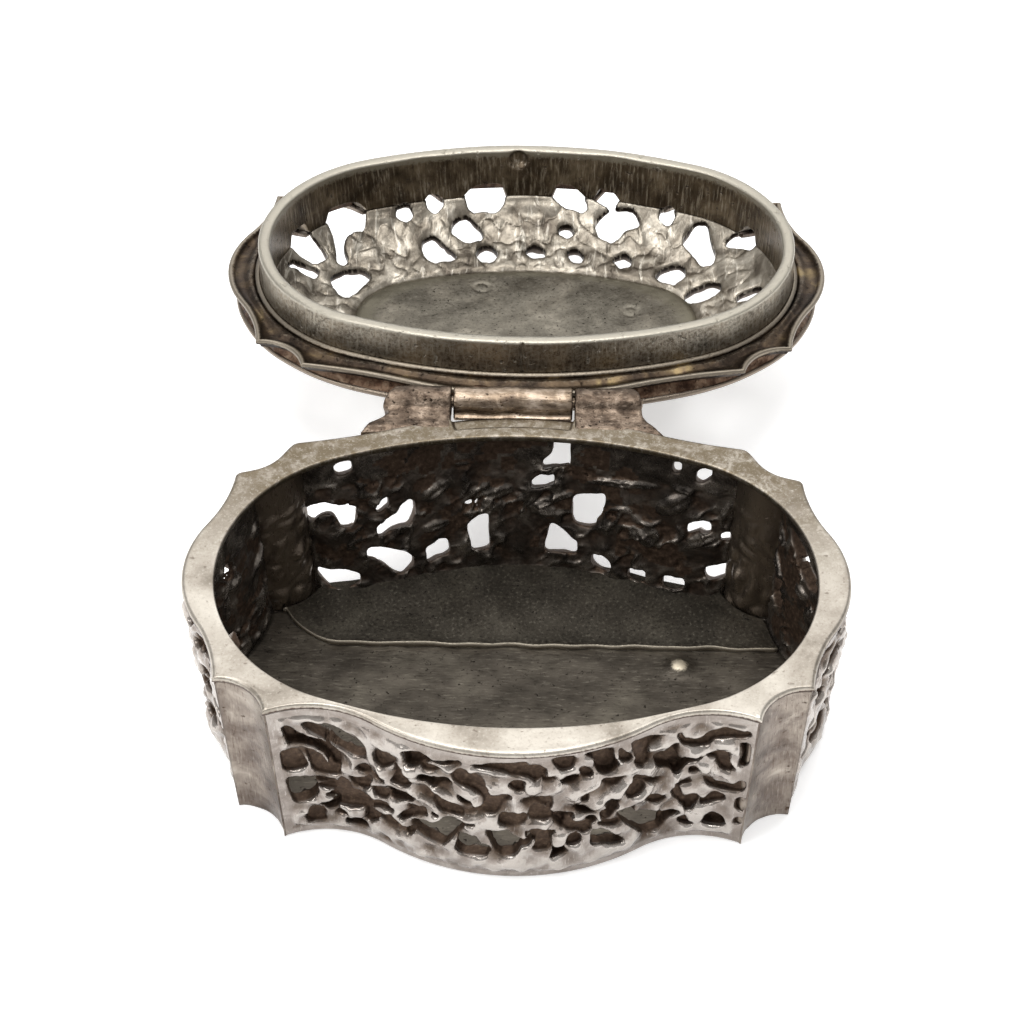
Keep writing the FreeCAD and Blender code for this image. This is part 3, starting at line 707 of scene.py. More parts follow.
FRONT_DEEP = [
    [(1.2, 13.0), (1.6, 12.7), (2.0, 12.1), (3.1, 11.5), (4.2, 10.9), (4.9, 10.3), (5.0, 9.0), (5.0, 7.8),
     (4.6, 8.0), (4.4, 8.6), (4.2, 9.4), (3.8, 10.0), (3.2, 10.5), (2.2, 10.8), (1.5, 11.1), (1.4, 11.8)],
    [(3.3, 3.5), (3.7, 3.6), (4.2, 3.9), (4.5, 4.2), (4.6, 3.7), (4.3, 3.0), (3.9, 2.9), (3.5, 3.1)],
    [(5.2, 1.9), (6.6, 1.9), (6.7, 1.4), (5.9, 1.3), (5.1, 1.4)],
    [(10.8, 13.2), (11.5, 13.5), (12.2, 13.6), (13.0, 13.3), (12.7, 13.0), (12.1, 12.4), (11.6, 11.9),
     (11.0, 11.7), (10.9, 12.4)],
    [(12.2, 11.2), (13.0, 11.3), (14.2, 11.5), (14.4, 11.0), (13.6, 10.5), (12.9, 10.1), (12.5, 10.5),
     (11.8, 10.3), (12.0, 10.8)],
    [(9.3, 8.0), (10.4, 8.1), (11.2, 8.1), (11.2, 7.4), (10.6, 7.2), (9.8, 6.8), (9.3, 6.8)],
    [(14.9, 9.6), (15.3, 9.6), (15.9, 9.1), (15.7, 8.6), (15.2, 8.9)],
    [(22.5, 11.9), (23.6, 12.1), (23.9, 11.6), (23.4, 11.2), (22.8, 11.4)],
    [(22.1, 7.9), (22.6, 7.7), (23.6, 7.3), (23.4, 7.0), (22.9, 6.7), (22.8, 6.0), (22.4, 6.5),
     (22.1, 7.2)],
    [(23.6, 8.2), (24.2, 8.0), (24.9, 7.3), (25.4, 7.1), (24.6, 7.2), (24.0, 7.6)],
    [(24.7, 6.7), (25.1, 6.6), (25.4, 6.0), (25.0, 5.7), (24.7, 6.1)],
    [(22.2, 3.8), (22.7, 3.8), (23.1, 2.7), (22.5, 2.6), (21.9, 2.4), (22.1, 3.0)],
    [(24.3, 14.2), (25.8, 14.2), (26.4, 14.0), (26.4, 13.2), (26.6, 12.7), (26.9, 12.1), (26.8, 11.4),
     (26.0, 11.4), (25.4, 12.0), (25.2, 12.8), (25.0, 13.8)],
    [(30.1, 10.9), (30.9, 11.3), (31.3, 11.8), (31.8, 11.9), (31.8, 10.6), (31.9, 10.0), (32.2, 9.7),
     (33.0, 9.9), (33.8, 10.1), (33.4, 9.5), (32.7, 9.3), (32.4, 8.8), (32.1, 8.2), (31.8, 8.4),
     (31.7, 8.9), (31.2, 9.3), (30.7, 9.6), (30.3, 10.1)],
    [(36.6, 11.9), (37.1, 11.9), (37.2, 11.0), (37.2, 9.8), (36.9, 9.3), (36.7, 9.5), (36.9, 10.4),
     (36.8, 11.0)],
    [(36.9, 5.2), (37.3, 5.5), (37.5, 5.3), (37.4, 4.3), (37.3, 3.9), (36.9, 4.2)],
    [(34.6, 2.5), (34.8, 2.9), (35.1, 3.2), (35.6, 3.1), (36.0, 2.7), (36.2, 2.2), (35.8, 1.8),
     (35.0, 1.8), (34.5, 2.0)],
    [(31.1, 3.8), (31.9, 3.7), (32.5, 3.5), (32.3, 3.1), (31.8, 2.9), (31.4, 2.5), (31.2, 1.9),
     (31.0, 3.3)],
    [(26.1, 8.0), (26.6, 8.1), (27.0, 7.8), (27.2, 7.2), (26.8, 7.2), (26.2, 7.4)],
]
FRONT_SHALLOW = [
    [(0.85, 10.1), (1.6, 10.1), (2.1, 9.6), (2.4, 9.0), (2.6, 8.2), (2.2, 7.8), (0.85, 7.8)],
    [(2.7, 9.9), (3.2, 9.9), (3.7, 9.3), (4.0, 8.6), (4.4, 8.1), (4.9, 7.9), (4.9, 7.2), (4.2, 7.0),
     (3.4, 7.2), (3.0, 7.8), (2.9, 8.8)],
    [(3.1, 6.45), (3.7, 6.2), (4.8, 6.15), (4.9, 5.95), (3.9, 6.0), (3.3, 6.2)],
    [(3.3, 5.7), (3.9, 5.6), (4.9, 5.9), (5.0, 5.4), (4.4, 5.3), (3.5, 5.4)],
    [(5.0, 6.9), (5.6, 6.6), (5.6, 5.4), (6.5, 5.3), (7.7, 5.2), (8.2, 5.5), (9.0, 5.7), (9.5, 5.6),
     (9.3, 5.0), (8.2, 4.9), (7.6, 4.5), (7.0, 3.9), (6.4, 3.8), (5.5, 3.5), (4.8, 3.5), (4.6, 4.1),
     (4.4, 4.5), (3.7, 4.7), (4.8, 5.2)],
    [(2.4, 2.9), (2.9, 3.0), (3.4, 2.8), (3.4, 2.4), (3.2, 2.0), (3.4, 1.4), (2.8, 1.3), (2.2, 1.3),
     (2.0, 1.8), (2.2, 2.4)],
    [(4.4, 2.3), (4.6, 2.7), (4.9, 2.7), (5.1, 2.3), (4.8, 2.4)],
    [(6.5, 8.6), (7.0, 9.0), (7.6, 9.0), (7.3, 8.5), (6.9, 8.2), (6.6, 8.2)],
    [(8.0, 8.5), (8.4, 8.8), (8.8, 8.6), (8.6, 8.2), (8.1, 8.2)],
    [(5.8, 7.2), (6.5, 7.3), (7.2, 7.6), (7.5, 7.9), (7.4, 7.2), (7.3, 6.6), (6.7, 6.2), (6.1, 6.2),
     (5.9, 6.7)],
    [(7.6, 6.9), (8.4, 7.0), (9.0, 7.2), (8.9, 6.6), (8.6, 6.2), (7.9, 5.9), (7.8, 6.3)],
    [(8.1, 11.0), (8.5, 11.7), (9.0, 12.2), (9.6, 12.2), (9.9, 11.8), (9.8, 11.2), (9.3, 10.6),
     (8.6, 10.0), (8.2, 10.2)],
    [(10.0, 11.3), (10.4, 11.0), (10.7, 10.4), (11.2, 9.8), (11.0, 9.2), (10.4, 8.8), (9.5, 8.8),
     (9.8, 9.4), (10.0, 10.0)],
    [(12.2, 12.2), (13.0, 12.6), (13.6, 12.7), (13.2, 12.1), (12.4, 11.8)],
    [(11.0, 7.0), (12.2, 7.0), (12.4, 6.3), (11.6, 5.9), (10.9, 6.3)],
    [(10.0, 4.9), (10.4, 5.5), (11.0, 6.0), (11.6, 6.0), (11.0, 5.4), (10.5, 4.9), (10.1, 4.6)],
    [(8.1, 3.9), (8.7, 4.1), (9.3, 4.6), (9.5, 4.6), (9.5, 3.8), (9.4, 3.2), (8.6, 3.3), (8.1, 3.6)],
    [(6.9, 3.8), (7.5, 3.9), (8.0, 3.9), (7.9, 3.0), (7.5, 2.7), (7.2, 2.4), (6.8, 2.4), (7.0, 3.3)],
    [(10.5, 3.1), (10.6, 3.6), (11.0, 4.0), (11.2, 3.7), (10.8, 3.2)],
    [(12.9, 13.25), (14.2, 13.35), (15.1, 13.75), (14.9, 13.4), (14.0, 13.15)],
    [(16.1, 13.6), (17.5, 13.75), (19.0, 13.95), (19.9, 14.1), (20.0, 13.7), (20.8, 13.7), (21.3, 13.4),
     (21.4, 12.9), (21.2, 12.4), (20.7, 12.0), (20.2, 12.6), (19.6, 12.7), (18.9, 12.8), (18.4, 13.2),
     (17.5, 13.4), (16.3, 13.4)],
    [(14.5, 12.1), (15.0, 12.7), (15.5, 12.8), (16.1, 12.5), (16.6, 12.1), (17.0, 11.3), (17.2, 10.1),
     (17.9, 9.9), (18.5, 10.6), (18.9, 10.2), (18.1, 9.3), (17.9, 8.4), (17.6, 8.0), (17.0, 8.0),
     (16.5, 8.3), (16.5, 8.8), (16.9, 8.8), (17.0, 9.6), (16.6, 10.3), (15.9, 10.8), (15.2, 11.0),
     (14.7, 11.3)],
    [(12.9, 8.6), (13.6, 8.9), (14.1, 8.9), (14.7, 8.6), (15.1, 7.9), (15.2, 7.3), (14.6, 7.3),
     (13.6, 7.3), (13.3, 7.8)],
    [(12.9, 6.5), (13.2, 6.5), (13.2, 6.8), (12.9, 6.8)],
    [(15.4, 6.3), (16.0, 6.3), (16.0, 6.6), (15.4, 6.6)],
    [(18.1, 8.0), (19.0, 8.1), (19.9, 8.2), (20.0, 7.4), (19.7, 6.9), (19.2, 6.6), (18.6, 6.5),
     (18.0, 6.8)],
    [(18.7, 11.6), (19.2, 12.0), (19.8, 12.1), (19.7, 11.4), (19.8, 10.9), (19.4, 10.8)],
    [(19.8, 9.6), (20.5, 9.7), (21.4, 10.1), (21.7, 9.9), (21.9, 9.0), (21.8, 8.5), (21.5, 8.9),
     (20.8, 9.3), (19.9, 9.3)],
    [(20.4, 8.5), (21.0, 8.7), (21.7, 8.4), (21.9, 7.8), (21.8, 7.2), (20.4, 7.3), (20.2, 7.9)],
    [(21.9, 14.3), (23.3, 14.3), (23.5, 13.9), (23.3, 13.0), (22.6, 13.0), (22.1, 13.7)],
    [(21.3, 11.9), (22.0, 11.9), (22.0, 12.3), (21.3, 12.3)],
    [(24.0, 12.9), (24.4, 12.6), (24.9, 11.9), (24.8, 11.6), (24.2, 11.7)],
    [(24.3, 8.7), (24.6, 8.7), (24.6, 9.3), (24.3, 9.3)],
    [(23.1, 6.7), (23.8, 6.5), (24.5, 6.2), (24.9, 5.6), (24.9, 4.9), (24.4, 4.8), (23.9, 5.3),
     (23.3, 5.5), (22.9, 6.0)],
    [(20.0, 5.8), (20.8, 6.0), (22.0, 5.9), (22.1, 5.5), (21.7, 5.2), (21.8, 4.3), (21.9, 3.5),
     (20.6, 3.5), (20.7, 4.1), (20.9, 4.8), (20.1, 5.2)],
    [(23.2, 4.9), (23.8, 5.0), (24.1, 4.6), (24.1, 3.7), (23.3, 3.6), (23.1, 4.2)],
    [(16.8, 4.0), (17.1, 3.9), (17.2, 3.1), (16.9, 3.2)],
    [(27.0, 13.8), (27.3, 13.3), (27.9, 12.6), (28.1, 11.9), (27.5, 12.1), (27.0, 12.7)],
    [(28.0, 13.9), (28.9, 13.8), (30.0, 13.4), (30.5, 13.2), (29.6, 13.0), (29.4, 12.4), (29.3, 11.9),
     (29.6, 11.3), (29.5, 10.8), (29.0, 10.7), (28.6, 11.2), (28.4, 12.2), (28.3, 13.0)],
    [(31.8, 13.2), (32.1, 12.5), (32.6, 12.1), (33.4, 12.0), (33.9, 12.5), (34.4, 12.9), (34.9, 13.3),
     (35.6, 13.5), (37.0, 13.3), (37.1, 12.9), (36.3, 12.5), (35.2, 12.3), (34.4, 12.0), (34.1, 11.4),
     (33.6, 11.3), (32.9, 11.4), (32.3, 11.6)],
    [(34.2, 10.3), (34.7, 10.6), (35.3, 10.8), (35.7, 10.6), (35.7, 9.9), (36.0, 9.5), (36.2, 9.0),
     (35.9, 8.5), (35.4, 8.7), (35.1, 9.3), (35.0, 9.9), (34.5, 10.0)],
    [(33.1, 8.1), (33.6, 8.1), (33.6, 8.7), (33.1, 8.7)],
    [(32.0, 7.3), (32.7, 7.0), (33.2, 6.9), (32.2, 6.8), (31.8, 6.2), (32.1, 5.5), (32.3, 5.0),
     (32.8, 4.6)],
    [(33.1, 5.4), (33.4, 5.6), (33.8, 5.2), (33.9, 4.6), (33.6, 4.1), (33.4, 3.6), (33.1, 3.6),
     (32.9, 4.2), (32.5, 4.6)],
    [(34.2, 7.4), (34.7, 7.2), (35.0, 6.9), (36.5, 7.0), (37.2, 7.5), (37.3, 6.9), (37.0, 6.2),
     (35.4, 6.2), (34.6, 6.6)],
    [(34.2, 4.7), (34.8, 5.3), (35.2, 5.7), (35.7, 5.5), (35.9, 5.0), (34.8, 4.5), (34.2, 4.2)],
    [(32.6, 2.6), (32.9, 2.9), (33.1, 2.4), (33.5, 2.1), (33.7, 1.8), (33.2, 1.8), (32.7, 2.1)],
    [(37.0, 2.8), (37.4, 3.1), (37.5, 2.9), (37.3, 2.4), (37.0, 2.3)],
    [(25.6, 10.9), (26.4, 10.7), (27.3, 10.4), (27.4, 10.0), (26.8, 9.7), (26.3, 9.8), (26.0, 10.3)],
    [(28.3, 9.9), (29.0, 9.5), (29.6, 8.8), (30.8, 7.9), (30.4, 8.0), (29.6, 8.4), (29.0, 8.9),
     (28.4, 9.3)],
    [(28.2, 8.9), (28.9, 8.6), (29.3, 8.2), (29.4, 7.6), (28.9, 7.3), (28.4, 7.2), (28.0, 7.6)],
    [(29.5, 6.8), (30.3, 6.2), (31.0, 5.8), (31.3, 5.2), (30.6, 5.3), (30.0, 5.7)],
    [(25.6, 5.7), (26.6, 5.2), (27.4, 4.8), (27.2, 4.6), (26.4, 4.9), (25.7, 5.4)],
]
# Raised lumps: along, height, half length, half width, tilt in degrees, how proud.
FRONT_LUMPS = [
    (3.6, 4.4, 0.65, 0.65, 0, 0.35), (6.1, 3.1, 0.8, 0.8, 0, 0.45), (11.3, 11.2, 0.6, 0.6, 0, 0.35),
    (10.0, 9.4, 1.1, 0.55, 60, 0.25), (20.5, 11.2, 0.75, 0.75, 0, 0.45), (22.5, 4.7, 0.75, 0.75, 0, 0.45),
    (24.2, 10.4, 1.6, 0.9, 35, 0.35), (23.8, 6.9, 0.7, 0.45, -20, 0.3), (21.1, 6.7, 1.1, 0.4, 5, 0.3),
    (25.3, 8.1, 0.6, 0.4, 20, 0.3), (27.1, 8.9, 0.8, 0.8, 0, 0.45), (34.0, 8.8, 0.65, 0.65, 0, 0.4),
    (33.9, 2.8, 0.7, 0.7, 0, 0.4), (36.3, 10.4, 1.4, 0.5, 88, 0.3), (32.9, 10.6, 0.9, 0.4, 10, 0.3),
    (8.6, 9.3, 1.2, 0.5, 35, 0.25), (13.6, 9.6, 1.1, 0.5, -15, 0.25), (16.0, 7.3, 0.9, 0.5, 20, 0.3),
    (29.9, 10.1, 1.0, 0.5, 60, 0.3), (35.4, 11.6, 1.0, 0.4, 15, 0.3), (12.3, 4.6, 1.0, 0.4, 30, 0.2),
]
FRONT_STIPPLE = [(12.0, 7.7), (17.4, 11.3), (23.2, 9.7), (30.6, 7.3), (26.4, 6.4), (35.3, 8.0)]
# Where light shows through the rear wall, seen from the front and above: along the wall and up.
REAR_LIGHTS = [
    [(3.1, 13.6), (3.5, 13.9), (4.3, 13.95), (4.4, 13.6), (3.9, 13.3), (3.4, 13.2)],
    [(0.6, 9.1), (1.1, 9.5), (1.9, 9.8), (2.7, 9.5), (3.1, 9.1), (4.35, 9.0), (4.3, 8.3), (4.0, 7.6),
     (3.7, 7.4), (3.2, 7.6), (3.0, 8.4), (2.7, 9.0), (2.2, 9.3), (1.6, 9.2), (1.2, 8.8), (1.0, 8.3),
     (0.75, 8.5)],
    [(6.1, 8.6), (6.5, 9.2), (6.95, 9.35), (6.95, 9.1), (6.5, 8.7), (6.2, 8.45)],
    [(8.65, 8.65), (9.05, 8.2), (9.0, 7.7), (8.5, 6.5), (7.9, 6.6), (7.1, 6.4), (6.1, 5.85), (5.95, 6.2),
     (6.9, 6.95), (7.75, 7.5), (8.15, 8.3)],
    [(4.95, 3.8), (5.2, 4.15), (5.85, 4.05), (7.2, 3.35), (7.95, 3.0), (8.6, 2.1), (8.2, 1.7), (7.6, 1.3),
     (7.1, 1.5), (6.6, 2.3), (6.1, 2.9), (5.55, 3.6)],
    [(9.85, 2.85), (10.5, 3.2), (11.0, 3.6), (11.7, 3.4), (11.9, 2.6), (11.4, 2.35), (10.65, 2.2),
     (9.9, 1.8)],
    [(0.9, 2.2), (1.8, 2.3), (2.9, 2.15), (4.1, 1.4), (4.1, 1.05), (3.4, 0.85), (2.8, 0.7), (1.95, 0.9),
     (1.3, 1.45)],
    [(13.7, 4.8), (14.05, 5.1), (14.8, 5.75), (15.45, 5.9), (15.4, 3.7), (15.5, 2.5), (14.0, 2.5),
     (14.0, 3.4)],
    [(21.15, 13.8), (21.7, 14.3), (22.35, 14.3), (22.35, 13.1), (22.45, 12.1), (21.15, 11.8), (20.2, 11.5),
     (20.5, 11.9), (21.1, 12.6)],
    [(19.3, 9.3), (19.7, 9.8), (20.2, 10.1), (21.1, 10.2), (21.1, 9.9), (20.3, 9.5)],
    [(23.0, 8.2), (24.15, 8.55), (25.7, 8.9), (25.45, 7.8), (25.25, 6.9), (24.85, 6.6), (25.0, 6.05),
     (24.3, 5.6), (23.3, 5.75), (22.95, 6.45)],
    [(21.05, 4.8), (21.6, 4.7), (22.1, 4.2), (22.75, 3.55), (23.4, 2.95), (23.3, 2.4), (20.55, 2.3),
     (20.8, 3.15)],
    [(24.9, 1.95), (25.45, 2.0), (26.15, 1.8), (26.7, 1.3), (26.4, 1.05), (25.6, 1.2), (25.2, 1.4)],
    [(28.2, 1.2), (28.9, 1.4), (29.6, 1.5), (29.6, 0.95), (29.3, 0.8), (28.75, 0.9)],
    [(31.2, 1.3), (31.8, 1.45), (32.15, 1.35), (32.7, 1.5), (32.9, 1.1), (32.3, 0.8), (31.3, 0.8)],
    [(34.5, 3.15), (34.95, 3.4), (35.6, 3.3), (36.2, 3.2), (36.3, 2.75), (36.0, 2.3), (35.3, 2.3),
     (34.7, 2.65)],
    [(32.7, 7.5), (33.1, 7.95), (33.9, 8.35), (34.35, 8.1), (34.4, 7.7), (34.0, 7.55), (33.6, 7.8),
     (33.1, 7.45), (32.75, 7.3)],
    [(35.35, 6.95), (35.75, 7.05), (36.2, 6.85), (36.0, 6.6)],
    [(31.0, 14.0), (31.55, 14.1), (31.55, 13.8), (31.2, 13.55)],
    [(32.9, 13.2), (33.2, 13.8), (33.9, 14.0), (33.95, 13.7), (33.3, 12.95)],
]
REAR_LUMPS = [
    (3.2, 13.7, 1.4, 0.4, 20, 0.45), (2.9, 12.0, 1.5, 0.35, 16, 0.4), (2.3, 9.6, 0.7, 0.5, 40, 0.35),
    (7.5, 7.2, 1.0, 0.6, 20, 0.4), (11.0, 9.4, 1.4, 0.7, 30, 0.4), (6.1, 9.2, 0.9, 0.5, -30, 0.35),
    (15.3, 7.2, 1.2, 0.6, 70, 0.4), (16.9, 8.8, 0.9, 0.6, 10, 0.4), (20.8, 11.0, 1.0, 0.6, 30, 0.45),
    (21.0, 8.0, 2.3, 0.4, 26, 0.45), (27.2, 10.8, 3.2, 0.4, 10, 0.45), (31.4, 9.8, 1.7, 0.9, 40, 0.5),
    (30.7, 13.7, 0.9, 0.5, 80, 0.4), (34.7, 12.8, 1.2, 0.6, -20, 0.4), (33.8, 6.8, 1.3, 0.6, 30, 0.4),
    (32.0, 11.5, 1.0, 0.4, -10, 0.4), (12.8, 12.2, 1.6, 0.5, -15, 0.4), (17.8, 12.6, 1.3, 0.5, 20, 0.4),
    (26.6, 13.0, 1.5, 0.5, -25, 0.4), (29.0, 6.0, 1.2, 0.6, -40, 0.4), (10.8, 5.9, 1.3, 0.5, 10, 0.35),
]
NET_STEP = 0.14
BORDER = 0.85


def lump_height(u, z, lumps, groove=0.3):
    """Rounded leaves and bosses; the longer ones have a groove down the middle."""
    height = np.zeros(u.shape)
    for along, up, half_length, half_width, tilt, proud in lumps:
        a = math.radians(tilt)
        du, dz = u - along, z - up
        s = du * math.cos(a) + dz * math.sin(a)
        t = -du * math.sin(a) + dz * math.cos(a)
        shape = np.clip(1 - (s / half_length) ** 2 - (t / half_width) ** 2, 0, 1) ** 0.6
        if half_length > 1.3 * half_width:
            shape = shape * (1 - groove * np.exp(-(t / (0.22 * half_width)) ** 2))
        height = np.maximum(height, proud * shape)
    return height


def slanted(field, w, slope):
    """A field of (u, z) drawn out through the sheet's thickness, rising inwards at the slope."""
    layers = []
    for depth in w:
        rows = np.clip(np.arange(field.shape[1]) - slope * depth / NET_STEP, 0, field.shape[1] - 1.001)
        low = rows.astype(int)
        layers.append(field[:, low] * (1 - (rows - low)) + field[:, low + 1] * (rows - low))
    return np.stack(layers, -1)


def rear_openings():
    """Openings that show as the rear lights: each is swept down the slope of the line of sight."""
    drop = SIGHT_SLOPE * WALL * SWEPT_THICKNESS
    rise = SIGHT_SLOPE * REAR_LEAN
    swept = []
    for outline in REAR_LIGHTS:
        lifted = [(u, (z + rise) / (1 + rise / RIM_UNDER)) for u, z in outline]
        for share in SWEEP_SHARES:
            swept.append([(u, z - share * drop) for u, z in lifted])
    return swept


def relief_sheet(length, height, through, deep, shallow, lumps, inner_lumps, seed, stipple=(), slope=0.0):
    """Solid field of one pierced, chased wall, meshed: points (u, z, w), faces and tone values for tarnish,
    painted shade, the inside faces and painted crest highlights.
    """
    u = np.arange(-2 * NET_STEP, length + 2.5 * NET_STEP, NET_STEP)
    z = np.arange(-2 * NET_STEP, height + 2.5 * NET_STEP, NET_STEP)
    w = np.arange(-1.0, WALL + 0.75, NET_STEP)
    uu, zz = np.meshgrid(u, z, indexing="ij")
    cut, sunk, scooped = (openings_field(uu, zz, kind) - 0.10 for kind in (through, deep, shallow))
    nearest = np.minimum(np.minimum(cut, sunk), scooped)
    margin = np.minimum(np.minimum(uu, length - uu), np.minimum(zz, height - zz))
    inside_frame = smooth_step(margin, BORDER - 0.2, BORDER + 0.3)
    pillow = np.sqrt(np.clip(1 - (1 - np.clip((nearest + 0.1) / 0.42, 0, 1)) ** 2, 0, 1))
    wave = ripple((uu, zz), 2.4, seed) * 0.5 + ripple((uu, zz), 0.9, seed + 1) * 0.25
    ridges = 1 - np.abs(ripple((uu, zz), 3.4, seed + 7))
    lumpy = lump_height(uu, zz, lumps)
    front = inside_frame * (0.44 * pillow - 0.38 + 0.15 * wave + 0.26 * ridges + 0.8 * lumpy)
    # Painted highlight: ridges, lumps and pillowed bars get a lighter tone.
    crest_highlight = np.clip(0.1 + 0.42 * ridges + 0.25 * wave + 0.7 * lumpy + 0.25 * pillow, 0, 1)
    for along, up in stipple:
        around = np.exp(-((uu - along) ** 2 + (zz - up) ** 2) / 1.1)
        front += 0.07 * around * np.sin(uu * 9.5 + zz * 3) * np.sin(zz * 9.5 - uu * 3)
    ribs = np.exp(-(np.abs(ripple((uu, zz), 2.2, seed + 5)) / 0.35) ** 2)
    busy = np.maximum(np.exp(-(cut / 0.9) ** 2), smooth_step(ripple((uu, zz), 7.0, seed + 9), 0.1, 0.5))
    inner_relief = (0.05 * wave + busy * (0.16 * wave + 0.26 * ribs) - 0.2
                    + lump_height(uu, zz, inner_lumps, 0.5))
    room_for_collar = smooth_step(zz, RIM_TOP - COLLAR_DROP - 1.0, RIM_TOP - COLLAR_DROP - 0.3)
    back = WALL + inside_frame * inner_relief * (1 - room_for_collar) - 0.08 - 0.1 * room_for_collar
    www = w[None, None, :]
    field = np.maximum(-front[..., None] - www, www - back[..., None])
    ends = np.minimum(uu, length - uu)[..., None] - 0.4 * np.maximum(www, 0)
    field = np.maximum(field, -np.minimum(ends, np.minimum(zz, height - zz)[..., None]))
    ground = 0.95 + 0.1 * wave
    for hole, floor_level in ((sunk, ground), (scooped, ground - 0.45)):
        pit = smooth_max(hole[..., None], www - floor_level[..., None], 0.12)
        field = smooth_max(field, -pit, 0.10)
    field = smooth_max(field, -slanted(cut, w, slope), 0.10)
    points, faces = surface_nets(field, np.array([u[0], z[0], w[0]]), NET_STEP)
    # Depth into the sheet drives tarnish and painted shade: the deeper, the darker.
    recess = np.clip((points[:, 2] + 0.15) / 1.0, 0, 1)
    facets = grid_sample(inside_frame * (crest_highlight - 0.55) + 0.62, points[:, 0], points[:, 1], u, z)
    frame_share = smooth_step(np.minimum(np.minimum(points[:, 0], length - points[:, 0]),
                                         np.minimum(points[:, 1], height - points[:, 1])), 0.3, BORDER)
    recess = np.where(points[:, 2] < 0.2, recess * frame_share, recess)
    inner = smooth_step(points[:, 2], 0.95, 1.25)
    deep_here = (inner > 0) & (points[:, 2] < 1.22)
    pit_floor = np.minimum(np.interp(points[:, 0], u, np.arange(len(u))).round(), len(u) - 1).astype(int)
    pit_row = np.minimum(np.interp(points[:, 1], z, np.arange(len(z))).round(), len(z) - 1).astype(int)
    blind = np.minimum(sunk, scooped)[pit_floor, pit_row] < 0.12
    inner = np.where(deep_here & blind, 0.0, inner)
    return points, faces, {"recess": recess, "inner": inner, "crest_highlight": facets}


def mirrored(outlines, length, low=-1.0, high=1e9, clear_of=()):
    """The same openings seen from behind, keeping those between two limits and clear of others."""
    kept = []
    for outline in outlines:
        moved = [(length - u, z) for u, z in outline]
        middle = np.mean(moved, axis=0)
        clear = all(np.hypot(*(middle - np.mean(other, axis=0))) > 2.0 for other in clear_of)
        if low < min(p[0] for p in moved) and max(p[0] for p in moved) < high and clear:
            kept.append(moved)
    return kept


def shifted(outlines, shift, low, high):
    moved = [[(u - shift, z) for u, z in outline] for outline in outlines]
    return [o for o in moved if min(p[0] for p in o) > low and max(p[0] for p in o) < high]


def clear_collar(points):
    """Push a wall's points out of the room that the closed lid's collar needs."""
    x, y, z = points.T
    spare = COLLAR_GAP - 0.14
    room = oval_reach(*(size - spare for size in MOUTH), angles=np.arctan2(y, x))
    reach = np.hypot(x, y)
    share = smooth_step(z, LID_PLANE - COLLAR_DROP - 0.7, LID_PLANE - COLLAR_DROP - 0.2)
    stretch = 1 + share * np.maximum(room / reach - 1, 0)
    return np.stack([x * stretch, y * stretch, z], 1)


def build_panels():
    height = RIM_UNDER
    full, rear, short = (Side(name).length for name in ("front", "rear", "left"))
    pierced = rear_openings()
    plans = {
        "front": (full, FRONT_THROUGH, FRONT_DEEP, FRONT_SHALLOW, FRONT_LUMPS, FRONT_LUMPS, 3,
                  FRONT_STIPPLE),
        "rear": (rear, pierced, mirrored(FRONT_DEEP, rear, 0.6, clear_of=pierced),
                 mirrored(FRONT_SHALLOW, rear, 0.6, clear_of=pierced), REAR_LUMPS, REAR_LUMPS, 11, ()),
        "left": (short, shifted(FRONT_THROUGH, 15.0, 0.8, short - 0.8),
                 shifted(FRONT_DEEP, 15.0, 0.8, short - 0.8),
                 shifted(FRONT_SHALLOW, 15.0, 0.8, short - 0.8), FRONT_LUMPS[:12], REAR_LUMPS[:12], 19, ()),
        "right": (short, mirrored(FRONT_THROUGH, short, 0.8, short - 0.8),
                  mirrored(FRONT_DEEP, short, 0.8, short - 0.8),
                  mirrored(FRONT_SHALLOW, short, 0.8, short - 0.8), REAR_LUMPS[:11], REAR_LUMPS[:11], 27, ()),
    }
    for name, plan in plans.items():
        points, faces, tones = relief_sheet(plan[0], height, *plan[1:7], stipple=plan[7],
                                            slope=OPENING_SLOPE if name == "rear" else 0.0)
        side = Side(name)
        bent = clear_collar(side.bend(points))
        piece(name + "_relief", bent, faces, "body", [name + "_panel"],
              MATERIALS["chased"], attributes=tones)


def ring_piece(name, rings, body, node, material, edges):
    """A closed piece laid in (reach, height) rings round the centre, with an edge value for each ring."""
    points, faces = lay_rings(rings, close=True)
    placed = swing(points) if body == "lid" else points
    edge = np.concatenate([np.broadcast_to(value, ROUND.shape) for value in edges])
    piece(name, placed, faces, body, [node], MATERIALS[material], attributes={"edge": edge})


# ---------------------------------------------------------------- corners, rim and floor

